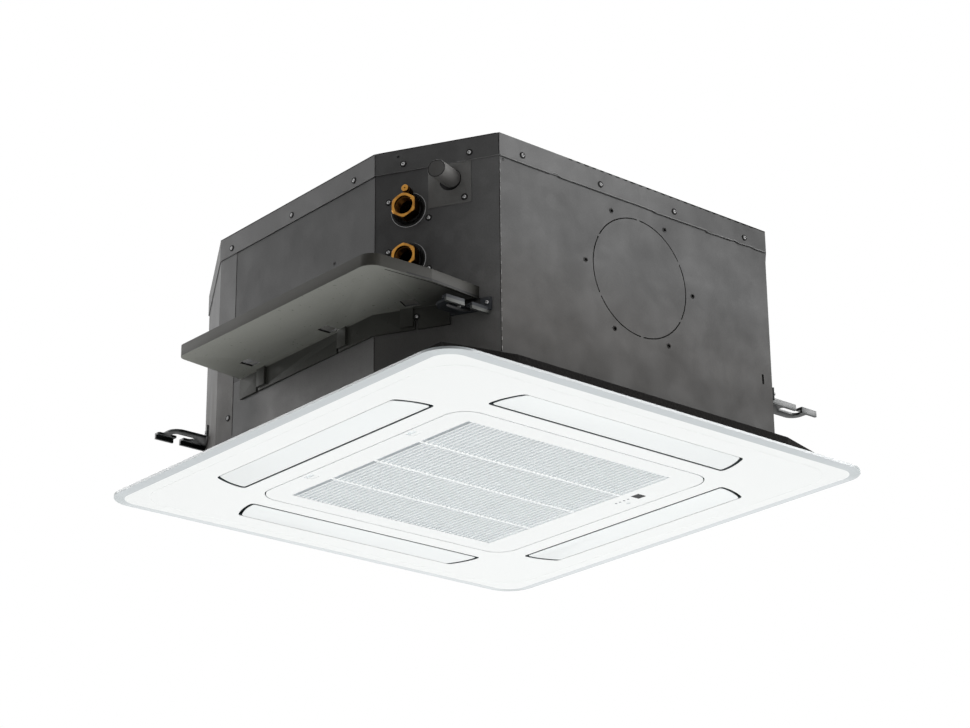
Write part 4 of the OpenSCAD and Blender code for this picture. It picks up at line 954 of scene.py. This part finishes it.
def softened(node, name, width, finish_name, body, segments=2, widen=()):
    """The new piece replaces the CAD node. width is in mm. Holes at the spots of widen grow."""
    bm = bmesh.new()
    bm.from_mesh(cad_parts[node].data)
    bmesh.ops.remove_doubles(bm, verts=bm.verts, dist=WELD)
    for vert in bm.verts:
        for spot in widen:
            away = (vert.co - spot).xy
            if away.length < HOLE_REACH and abs(vert.co.z - spot.z) < HOLE_DEPTH:
                vert.co.xy = spot.xy + away * HOLE_GROWTH
    bmesh.ops.dissolve_limit(bm, angle_limit=FLAT_ANGLE, verts=bm.verts, edges=bm.edges)
    mesh = bpy.data.meshes.new(name)
    bm.to_mesh(mesh)
    bm.free()
    mesh.shade_smooth()
    blank = bpy.data.objects.new(name + "_blank", mesh)
    SCENE.collection.objects.link(blank)
    bevel = blank.modifiers.new("round", "BEVEL")
    bevel.limit_method, bevel.angle_limit = "ANGLE", EDGE_ANGLE
    bevel.width, bevel.segments, bevel.harden_normals = width * MM, segments, True
    bevel.miter_outer = "MITER_ARC"
    depsgraph = bpy.context.evaluated_depsgraph_get()
    result = bpy.data.meshes.new_from_object(blank.evaluated_get(depsgraph))
    bpy.data.objects.remove(blank)
    result.materials.clear()
    result.materials.append(FINISHES[finish_name])
    obj = bpy.data.objects.new(name, result)
    SCENE.collection.objects.link(obj)
    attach(obj, body)
    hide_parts(node)
    print(name, len(result.polygons), "faces")


TRAY_HOLES = [on_face("left", -40, 95, 23)[0], on_face("left", 95, 95, 14)[0],
              on_face("pipe", 48, 95, 16)[0]]
softened("drip_tray", "drip_tray_pressed", 0.8, "tray_paint", "unit", 3, widen=TRAY_HOLES)
for corner, tint in (("pipe", "hanger_grey"), ("left", "hanger_black"),
                     ("right", "hanger_black"), ("far", "hanger_black")):
    softened("hanger_" + corner, "hanger_" + corner + "_folded", 0.6, tint, "unit")
softened("drain_plate", "drain_plate_cut", 0.25, "plate_grey", "unit")
for side in ("left", "front", "right", "back"):
    softened("vane_" + side, "vane_" + side + "_moulded", 0.5, "vane_plastic", "vane_" + side)
for end in "ab":
    softened("latch_" + end, "latch_" + end + "_moulded", 0.3, "grille_plastic", "latch_" + end)

# %% [markdown]
# ## Geometry Nodes for what repeats
# Screws, hole lips, fold slots and seams come in rows. Placing copies in Python would bake every
# number into the mesh at once. A Geometry Nodes tree keeps the sizes as named inputs, and the
# same tree serves every row. Each tree ends in Realize Instances and Set Material, and the
# result is taken as a plain mesh.

# %% Trees with named inputs
KINDS = {"FLOAT": "NodeSocketFloat", "INT": "NodeSocketInt", "OBJECT": "NodeSocketObject",
         "MATERIAL": "NodeSocketMaterial"}


class Maker(Graph):
    """A Geometry Nodes tree. self.input gives the sockets of its named inputs."""
    def __init__(self, name, inputs):
        tree = bpy.data.node_groups.new(name, "GeometryNodeTree")
        super().__init__(tree)
        tree.interface.new_socket("Geometry", in_out="INPUT", socket_type="NodeSocketGeometry")
        for label, kind in inputs.items():
            tree.interface.new_socket(label, in_out="INPUT", socket_type=KINDS[kind])
        tree.interface.new_socket("Geometry", in_out="OUTPUT", socket_type="NodeSocketGeometry")
        self.input = self.node("NodeGroupInput")

    def end(self, geometry, material, smooth=True):
        whole = self.node("GeometryNodeRealizeInstances", None, {0: geometry})
        if smooth:
            whole = self.node("GeometryNodeSetShadeSmooth", None, {0: whole})
        done = self.node("GeometryNodeSetMaterial", None, {"Geometry": whole, "Material": material})
        self.node("NodeGroupOutput", None, {0: done})
        return self.tree


def grow(name, tree, points, edges=(), facing=(), **inputs):
    """Runs a tree on a cloud of points or a path, and returns the result as a plain mesh.
    facing is a direction for each point."""
    seed = bpy.data.meshes.new(name)
    seed.from_pydata([Vector(p) for p in points], list(edges), [])
    if facing:
        layer = seed.attributes.new("facing", "FLOAT_VECTOR", "POINT")
        for item, direction in zip(layer.data, facing):
            item.vector = direction
    holder = bpy.data.objects.new(name, seed)
    SCENE.collection.objects.link(holder)
    modifier = holder.modifiers.new("grow", "NODES")
    modifier.node_group = tree
    ids = {s.name: s.identifier for s in tree.interface.items_tree
           if s.item_type == "SOCKET" and s.in_out == "INPUT"}
    for label, value in inputs.items():
        modifier[ids[label.replace("_", " ")]] = value
    evaluated = holder.evaluated_get(bpy.context.evaluated_depsgraph_get())
    mesh = bpy.data.meshes.new_from_object(evaluated)
    holder.modifiers.remove(modifier)
    bpy.data.objects.remove(holder)
    return mesh


# %% [markdown]
# ### Screws
# The casing is held by pan head screws with a cross recess. One head is drawn by hand as a dome
# over a round grid, with the cross pressed into it, and the tree sets it on each point, turns
# its axis out of the sheet, and spins it by a random angle as a driver would leave it.

# %% One pan head
def pan_head(radius, height, arm=0.62, slot=0.17, depth=0.75):
    """A head in mm: rings of a dome, with a cross pressed in. arm is half the cross, slot half
    the width of its arms, and depth its share of the height."""
    bm = bmesh.new()
    steps, rings = 24, (0.12, 0.2, 0.34, 0.48, 0.6, 0.7, 0.84, 0.95, 1.0)
    def dome(f, a):
        x, y = f * math.cos(a), f * math.sin(a)
        top = height * (1 - 0.55 * f ** 2.4)
        across = min(abs(x), abs(y)) / slot
        along = max(abs(x), abs(y)) / arm
        pit = max(0.0, 1 - across ** 4) * max(0.0, 1 - along ** 6)
        return top - depth * height * pit
    centre = bm.verts.new((0, 0, dome(0, 0) * MM))
    last = None
    for f in rings:
        loop = []
        for i in range(steps):
            a = 2 * math.pi * i / steps
            loop.append(bm.verts.new((f * radius * math.cos(a) * MM, f * radius * math.sin(a) * MM,
                                      dome(f, a) * MM)))
        for i in range(steps):
            j = (i + 1) % steps
            face = (loop[i], loop[j], last[j], last[i]) if last else (centre, loop[i], loop[j])
            bm.faces.new(face)
        last = loop
    base = [bm.verts.new((v.co.x, v.co.y, 0)) for v in last]
    for i in range(steps):
        j = (i + 1) % steps
        bm.faces.new((last[i], base[i], base[j], last[j]))
    bm.faces.new(base)
    return mesh_from(bm, "pan_head")


HEAD_CREASE = 38.0


def hidden_object(name, mesh):
    """An object for a tree to copy. It is removed once the rows are made."""
    mesh.shade_smooth()
    mesh.set_sharp_from_angle(angle=math.radians(HEAD_CREASE))
    obj = bpy.data.objects.new(name, mesh)
    SCENE.collection.objects.link(obj)
    obj.hide_render = True
    return obj


# %% Tree that sets a part on each point
def scatter_tree():
    g = Maker("set_on_points", {"Part": "OBJECT", "Size": "FLOAT", "Spin": "FLOAT", "Seed": "INT",
                                "Finish": "MATERIAL"})
    facing = g.node("GeometryNodeInputNamedAttribute", {"data_type": "FLOAT_VECTOR"},
                    {"Name": "facing"})
    upright = g.node("FunctionNodeAlignRotationToVector", {"axis": "Z"}, {"Vector": facing})
    angle = g.node("FunctionNodeRandomValue", {"data_type": "FLOAT"},
                   {2: 0.0, 3: g.input["Spin"], "Seed": g.input["Seed"]}, out=1)
    spin = g.node("FunctionNodeAxisAngleToRotation", None, {"Axis": (0, 0, 1), "Angle": angle})
    turned = g.node("FunctionNodeRotateRotation", {"rotation_space": "LOCAL"},
                    {"Rotation": upright, "Rotate By": spin})
    part = g.node("GeometryNodeObjectInfo", {"transform_space": "ORIGINAL"},
                  {"Object": g.input["Part"]})
    copies = g.node("GeometryNodeInstanceOnPoints", None,
                    {"Points": g.input["Geometry"], "Instance": part["Geometry"],
                     "Rotation": turned, "Scale": g.input["Size"]})
    return g.end(copies, g.input["Finish"], smooth=False)


SET_ON_POINTS = scatter_tree()
print("tree", SET_ON_POINTS.name)


def scatter(name, part, spots, finish_name, body, replaced=(), size=1.0,
            seed=3):
    """spots: a place and the direction that the part faces there."""
    mesh = grow(name, SET_ON_POINTS, [spot for spot, _ in spots],
                facing=[direction for _, direction in spots], Part=part, Size=size, Spin=math.pi,
                Seed=seed, Finish=FINISHES[finish_name])
    print(name, len(spots), "copies")
    keep(name, mesh, finish_name, body, replaced, crease=HEAD_CREASE)


# %% [markdown]
# The screws sit along the lid's skirt, down the folds, beside each union and on the flanges of
# the hangers. Each place is measured along its face, as it would be marked out for drilling.

# %% Screws of the casing
LID_SCREWS, SKIRT_OUT = 268.5, 1.2      # height of the skirt's screws, and how far it stands out
UNION_SCREW, UNION_SCREW_TILT = 27, math.radians(29)     # distance and tilt from a union's axis
SCREW_SPOTS = (
    [on_face("left", -y, LID_SCREWS, SKIRT_OUT) for y in (116, -4, -122)]
    + [on_face("pipe", t, LID_SCREWS, SKIRT_OUT) for t in (34, 112)]
    + [on_face("front", x, LID_SCREWS, SKIRT_OUT) for x in (-184, -68, 47, 162)]
    + [on_face("right", y, LID_SCREWS, SKIRT_OUT) for y in (-150, 0, 150)]
    + [on_face("back", x, LID_SCREWS, SKIRT_OUT) for x in (-150, 0, 150)]
    + [on_face("left", -115, 54), on_face("left", -115, 150), on_face("right", 120, 54),
       on_face("back", -120, 54)]
    + [on_face("pipe", UNION_ALONG + s * UNION_SCREW * math.cos(UNION_SCREW_TILT),
               h - s * UNION_SCREW * math.sin(UNION_SCREW_TILT))
       for h in UNION_PLACES.values() for s in (-1, 1)]
    + [on_face("pipe", 106, 216, 1.2)])


FLANGE_SPAN, FLANGE_INSET = (244.0, 277.0), 3      # along Y, and from its ends to the screws
FLANGE_OUT, FLANGE_UP = 2.5, 8.25


def hanger_screws():
    """Two screws through the turned-up flange of each hanger, as the CAD sets them."""
    spots = []
    for sx, sy, (cx, cy) in ((-1, -1, PIPE_CUT), (-1, 1, LEFT_CUT), (1, -1, PLAIN_CUT),
                             (1, 1, PLAIN_CUT)):
        ends = [Vector((HALF - cx * (y - HALF + cy) / cy, y, 0)) for y in FLANGE_SPAN]
        run = (ends[1] - ends[0]).normalized()
        outward = Vector((cy, cx, 0)).normalized()
        for p in (ends[0] + FLANGE_INSET * run, ends[1] - FLANGE_INSET * run):
            p = p + outward * FLANGE_OUT
            spots.append((Vector((sx * p.x, sy * p.y, FLANGE_UP)) * MM,
                          Vector((sx * outward.x, sy * outward.y, 0))))
    return spots


head = hidden_object("head_part", pan_head(2.1, 1.8))
scatter("case_screw_heads", head, SCREW_SPOTS + hanger_screws(), "bright_steel", "unit",
        ("case_screws",))
TRAY_SCREWS = [on_face("pipe", 50.6, 83.4, 2.5)]
scatter("tray_screw_heads", head, TRAY_SCREWS, "bright_steel", "unit", ("tray_screws",),
        size=0.9, seed=5)
PANEL_SCREW, PANEL_SCREW_UP, DOWN = 180, 10.5, Vector((0, 0, -1))
PANEL_SPOTS = [(Vector((x, y, FACE + PANEL_SCREW_UP)) * MM, DOWN)
               for x in (-PANEL_SCREW, PANEL_SCREW) for y in (-PANEL_SCREW, PANEL_SCREW)]
scatter("panel_screw_heads", head, PANEL_SPOTS, "bright_steel", "unit", ("panel_screws",),
        size=1.4, seed=7)


# %% [markdown]
# ### Pierced holes
# A punch leaves a small collar round a hole in thin sheet. Each duct hole and plug gets such a
# lip: a fine torus, set by the same tree. So do the dark washers under the screws, which also
# give the painted shade round each head, the edges of the union holes and the line round the
# drain's mouth, which are rings as well.

# %% Lips round the punched holes
def torus(major, minor, steps=24, sides=8):
    """major and minor are the radii of the ring and of its wire, in mm."""
    bm = bmesh.new()
    turns = [2 * math.pi * k / sides for k in range(sides)]
    ring(bm, [(minor * math.sin(a), major + minor * math.cos(a)) for a in turns], steps,
         Matrix.Identity(4))
    return mesh_from(bm, "torus")


lip = hidden_object("lip_part", torus(2.6, 0.55))
DUCT_X, DUCT_H, HOLE_CIRCLE = -10, 170, 82.5      # the duct's middle, and its circle of holes
DUCT_HOLES = [on_face("front", DUCT_X + HOLE_CIRCLE * math.cos(math.radians(a)),
                      DUCT_H + HOLE_CIRCLE * math.sin(math.radians(a)), 0.05)
              for a in range(0, 360, 60)]
scatter("hole_lips", lip, DUCT_HOLES, "sheet_front", "unit")
# Dark washers, which also paint the shade round each screw head.
washer_and_shade = hidden_object("washer_part", torus(3.0, 0.95))
scatter("screw_washers", washer_and_shade, SCREW_SPOTS + TRAY_SCREWS, "seal_rubber", "unit")
collar = hidden_object("collar_part", torus(20.1, 0.5, 64))
COLLARS = [on_face("pipe", UNION_ALONG, h, 0.1) for h in UNION_PLACES.values()]
scatter("pipe_hole_collars", collar, COLLARS, "bright_steel", "unit")
mouth = hidden_object("mouth_part", torus(9.7, 0.5, 48))
scatter("stub_mouth_line", mouth, [on_face("pipe", *STUB_MOUTH)], "seal_rubber", "unit")
small = hidden_object("plug_part", torus(1.3, 0.5, 16, 6))
PLUGS = [on_face("left", 86, 180, 0.0), on_face("front", -211.0, 256.0, 0.0)]
scatter("plug_lips", small, PLUGS, "sheet_front", "unit")


# %% [markdown]
# ### Paths
# Seams, the crease of the panel and the sealing bead under the lid all follow a line. One tree
# turns a path into a thin tube, and can make it waver by a noise with a fixed seed.

# %% Tree that sweeps a thin tube along a path
def path_tree():
    g = Maker("tube_on_path", {"Radius": "FLOAT", "Flat": "FLOAT", "Step": "FLOAT",
                               "Waver": "FLOAT", "Wave Scale": "FLOAT", "Seed": "FLOAT",
                               "Sides": "INT", "Finish": "MATERIAL"})
    curve = g.node("GeometryNodeMeshToCurve", None, {0: g.input["Geometry"]})
    even = g.node("GeometryNodeResampleCurve", {"mode": "LENGTH"},
                  {"Curve": curve, "Length": g.input["Step"]})
    noise = g.node("ShaderNodeTexNoise", {"noise_dimensions": "4D"},
                   {"W": g.input["Seed"], "Scale": g.input["Wave Scale"], "Detail": 3.0}, out=0)
    lift = g.node("ShaderNodeCombineXYZ", None, {2: (noise - 0.5) * g.input["Waver"]})
    wavy = g.node("GeometryNodeSetPosition", None, {"Geometry": even, "Offset": lift})
    profile = g.node("GeometryNodeCurvePrimitiveCircle", None,
                     {"Resolution": g.input["Sides"], "Radius": g.input["Radius"]})
    squash = g.node("ShaderNodeCombineXYZ", None, {0: 1.0, 1: g.input["Flat"], 2: 1.0})
    thin = g.node("GeometryNodeTransform", None, {"Geometry": profile, "Scale": squash})
    tube = g.node("GeometryNodeCurveToMesh", None,
                  {"Curve": wavy, "Profile Curve": thin, "Fill Caps": True})
    return g.end(tube, g.input["Finish"])


TUBE_ON_PATH = path_tree()
print("tree", TUBE_ON_PATH.name)
TUBE_SIDES, TUBE_CREASE = 8, 60.0


def trail(name, paths, finish_name, body, radius, flat=1.0, step=3.0, waver=0.0,
          wave_scale=30.0, seed=1.0, closed=False):
    """paths: lists of points in metres. radius, step and waver are in mm."""
    points, edges = [], []
    for path in paths:
        first = len(points)
        points += path
        edges += [(first + i, first + i + 1) for i in range(len(path) - 1)]
        if closed:
            edges.append((len(points) - 1, first))
    mesh = grow(name, TUBE_ON_PATH, points, edges, Radius=radius * MM, Flat=flat, Step=step * MM,
                Waver=waver * MM, Wave_Scale=wave_scale, Seed=seed, Sides=TUBE_SIDES,
                Finish=FINISHES[finish_name])
    keep(name, mesh, finish_name, body, (), crease=TUBE_CREASE)


# %% [markdown]
# The lid is sealed to the sides with a bead that was drawn by hand, so it wavers and has a few
# lumps. The lumps are listed where the photograph shows them, and the tree adds the waver.

# %% Bead under the lid's skirt
SKIRT = 259.5                        # height of the skirt's lower edge


def along_front(x, height, out=SKIRT_OUT):
    return on_face("front", x, height, out)[0]


bead = [along_front(x, SKIRT + 0.2 + dz) for x, dz in (
    (-216, 0), (-170, -0.6), (-142, -0.4), (-139, 1.9), (-133, 1.7), (-129, -0.7), (-70, -0.2),
    (-20, 0.3), (14, 0.5), (18, -0.9), (40, -0.6), (98, 0.3), (101, -1.4), (140, -0.3),
    (146, 1.2), (152, -0.8), (174, 0.4), (180, -0.5), (197, 0.1))]
trail("lid_bead_front", [bead], "sheet_plain", "unit", 0.7, 0.8, 2.5, 1.2, 24.0)
corner_bead = [on_face("pipe", t, SKIRT + 0.1, 1.1)[0] for t in (0.5, 70, 145.8)]
left_bead = [on_face("left", -y, SKIRT + 0.1, 1.1)[0] for y in (137, 60, -40, -159)]
trail("lid_bead_sides", [corner_bead, left_bead], "sheet_plain", "unit",
      0.45, 0.8, 3.0, 0.5, 12.0, 4.0)

# %% [markdown]
# Two sheets that meet leave a gap too narrow to see into, and it reads as a dark line. A thin
# dark tube laid along it gives that line for a few faces. A gap cut into the sheet itself would
# need a boolean for each joint, and would catch the light.

# %% Dark seams between the sheets
SIDE_HEIGHTS, SKIRT_HEIGHTS = (30, 140, 259), (261, 285.5)
seams = [
    [on_face("left", -106, h)[0] for h in SIDE_HEIGHTS],
    [on_face("pipe", 0.15, h)[0] for h in SIDE_HEIGHTS],
    [on_face("pipe", 146.2, h)[0] for h in SIDE_HEIGHTS],
    [on_face("pipe", 0.0, h, SKIRT_OUT)[0] for h in SKIRT_HEIGHTS],
    [on_face("pipe", 146.37, h, SKIRT_OUT)[0] for h in SKIRT_HEIGHTS],
]
trail("sheet_seams", seams, "black_foam", "unit", 0.34, 1.0, 8.0)
rim = [on_face(face, along, 286.2, 1.0)[0] for face, along in (
    ("left", -139.3), ("left", 159.3), ("pipe", 146.2), ("front", 197.3))]
trail("lid_edge", [rim], "black_foam", "unit", 0.62, 1.0, 8.0)


# %% [markdown]
# ### Fold slots
# Thick sheet is folded along a row of short slots that weaken the line. They show along the top
# of the lid and down the upright corner. The tree lays a dash on each step of a straight line,
# and random lengths keep the row from looking printed.

# %% Tree for rows of dashes
def dash_tree():
    g = Maker("dashes", {"Pitch": "FLOAT", "Long": "FLOAT", "Wide": "FLOAT", "Thick": "FLOAT",
                         "Seed": "INT", "Finish": "MATERIAL"})
    curve = g.node("GeometryNodeMeshToCurve", None, {0: g.input["Geometry"]})
    even = g.node("GeometryNodeCurveToPoints", {"mode": "LENGTH"},
                  {"Curve": curve, "Length": g.input["Pitch"]})
    size = g.node("ShaderNodeCombineXYZ", None,
                  {0: g.input["Wide"], 1: g.input["Thick"], 2: g.input["Long"]})
    brick = g.node("GeometryNodeMeshCube", None, {"Size": size})
    stretch = g.node("FunctionNodeRandomValue", {"data_type": "FLOAT"},
                     {2: 0.55, 3: 1.25, "Seed": g.input["Seed"]}, out=1)
    scale = g.node("ShaderNodeCombineXYZ", None, {0: 1.0, 1: 1.0, 2: stretch})
    copies = g.node("GeometryNodeInstanceOnPoints", None,
                    {"Points": even, "Instance": brick["Mesh"], "Rotation": even["Rotation"],
                     "Scale": scale})
    return g.end(copies, g.input["Finish"], smooth=False)


DASHES = dash_tree()
print("tree", DASHES.name)


SLOT_WIDE = 0.9                      # width and thickness of a slot, in mm


def dash_row(name, start, end, pitch, long, seed, tint="black_foam"):
    """pitch and long, the length of a slot, are in mm."""
    mesh = grow(name, DASHES, [start, end], [(0, 1)], Pitch=pitch * MM, Long=long * MM,
                Wide=SLOT_WIDE * MM, Thick=SLOT_WIDE * MM, Seed=seed, Finish=FINISHES[tint])
    keep(name, mesh, tint, "unit", ())


dash_row("lid_fold_slots", along_front(-113, 285.6, 1.25), along_front(174, 285.6, 1.25),
         11.5, 6.0, 2)
dash_row("corner_fold_slots", along_front(-216.0, 34, 0.1), along_front(-216.0, 252, 0.1),
         10.5, 4.6, 6, "sheet_corner")

# %% [markdown]
# The tray's rim is folded up from its floor, and under the fold lies a thin shadow. A black tube
# along it paints that shadow: one more path for the tree that lays tubes.

# %% Painted shadow under the tray's rim
TRAY_FOLD_UP = 15.1
under_rim = [Vector((x, y, TRAY_FOLD_UP)) * MM
             for x, y in ((-355, -264.3), (-330, -265.6), (-297, -268), (-229, -263.6))]
# A black tube as painted shadow under the tray's rim.
trail("tray_fold_line", [under_rim], "black_foam", "unit", 0.7, 0.5, 6.0)


# %% [markdown]
# ## Panel
# The face of the panel carries one faint crease that follows its outline. It is far finer than
# any mesh edge of the panel, so it's one more path: a rounded square swept by a flat tube.

# %% Crease round the panel's face
def square_path(half, radius, height, steps=8):
    """A rounded square, in mm."""
    pts = []
    for k, (sx, sy) in enumerate(((1, 1), (-1, 1), (-1, -1), (1, -1))):
        for i in range(steps + 1):
            a = math.radians(90 * k + 90 * i / steps)
            pts.append(Vector((sx * (half - radius) + radius * math.cos(a),
                               sy * (half - radius) + radius * math.sin(a), height)) * MM)
    return pts


CREASE_HALF, CREASE_R = 295, 45
trail("panel_crease", [square_path(CREASE_HALF, CREASE_R, FACE)], "panel_plastic", "unit",
      0.4, 0.6, 6.0, closed=True)


# %% [markdown]
# The vanes and the grille close against ledges. Seen from the front, the ledges are what keeps
# the joints from showing as black slits. They are short straight strips, so plain blocks do,
# turned to each of the four sides. They leave room for the hinge pins and the latches.

# %% Ledges behind the vanes and the grille
LEDGE_HALF = 160
VANE_LEDGE_X, VANE_LEDGE_Z = (264.0, 268.7), (-76.1, -75.0)
GRILLE_LEDGE_X, GRILLE_LEDGE_Z = (191.7, 197.0), (-76.0, -75.3)
LEDGE_SPANS = {0: ((-LEDGE_HALF, -127), (-113, 113), (127, LEDGE_HALF)),     # beside the pins
               2: ((-LEDGE_HALF, -110), (-80, 80), (110, LEDGE_HALF))}       # beside the latches


def strip(bm, x, y, z, matrix):
    """A block between two values along each axis, in mm."""
    lo, hi = Vector((x[0], y[0], z[0])), Vector((x[1], y[1], z[1]))
    block(bm, matrix, (lo + hi) / 2, hi - lo)


whole_side = (-LEDGE_HALF, LEDGE_HALF)
vane_bm, grille_bm = bmesh.new(), bmesh.new()
for k in range(4):
    quarter = Matrix.Rotation(math.radians(90 * k), 4, "Z")
    strip(vane_bm, VANE_LEDGE_X, whole_side, VANE_LEDGE_Z, quarter)
    for span in LEDGE_SPANS.get(k, (whole_side,)):
        strip(grille_bm, GRILLE_LEDGE_X, span, GRILLE_LEDGE_Z, quarter)
keep("vane_ledges", mesh_from(vane_bm, "ledges"), "panel_plastic", "unit", ())
keep("grille_ledges", mesh_from(grille_bm, "grille_ledges"), "panel_plastic", "unit", ())

# %% [markdown]
# ## Tidying up
# The parts that the trees copied aren't pieces of the object, so they are removed.

# %% Remove the patterns
for pattern in (head, lip, washer_and_shade, collar, mouth, small):
    bpy.data.objects.remove(pattern)
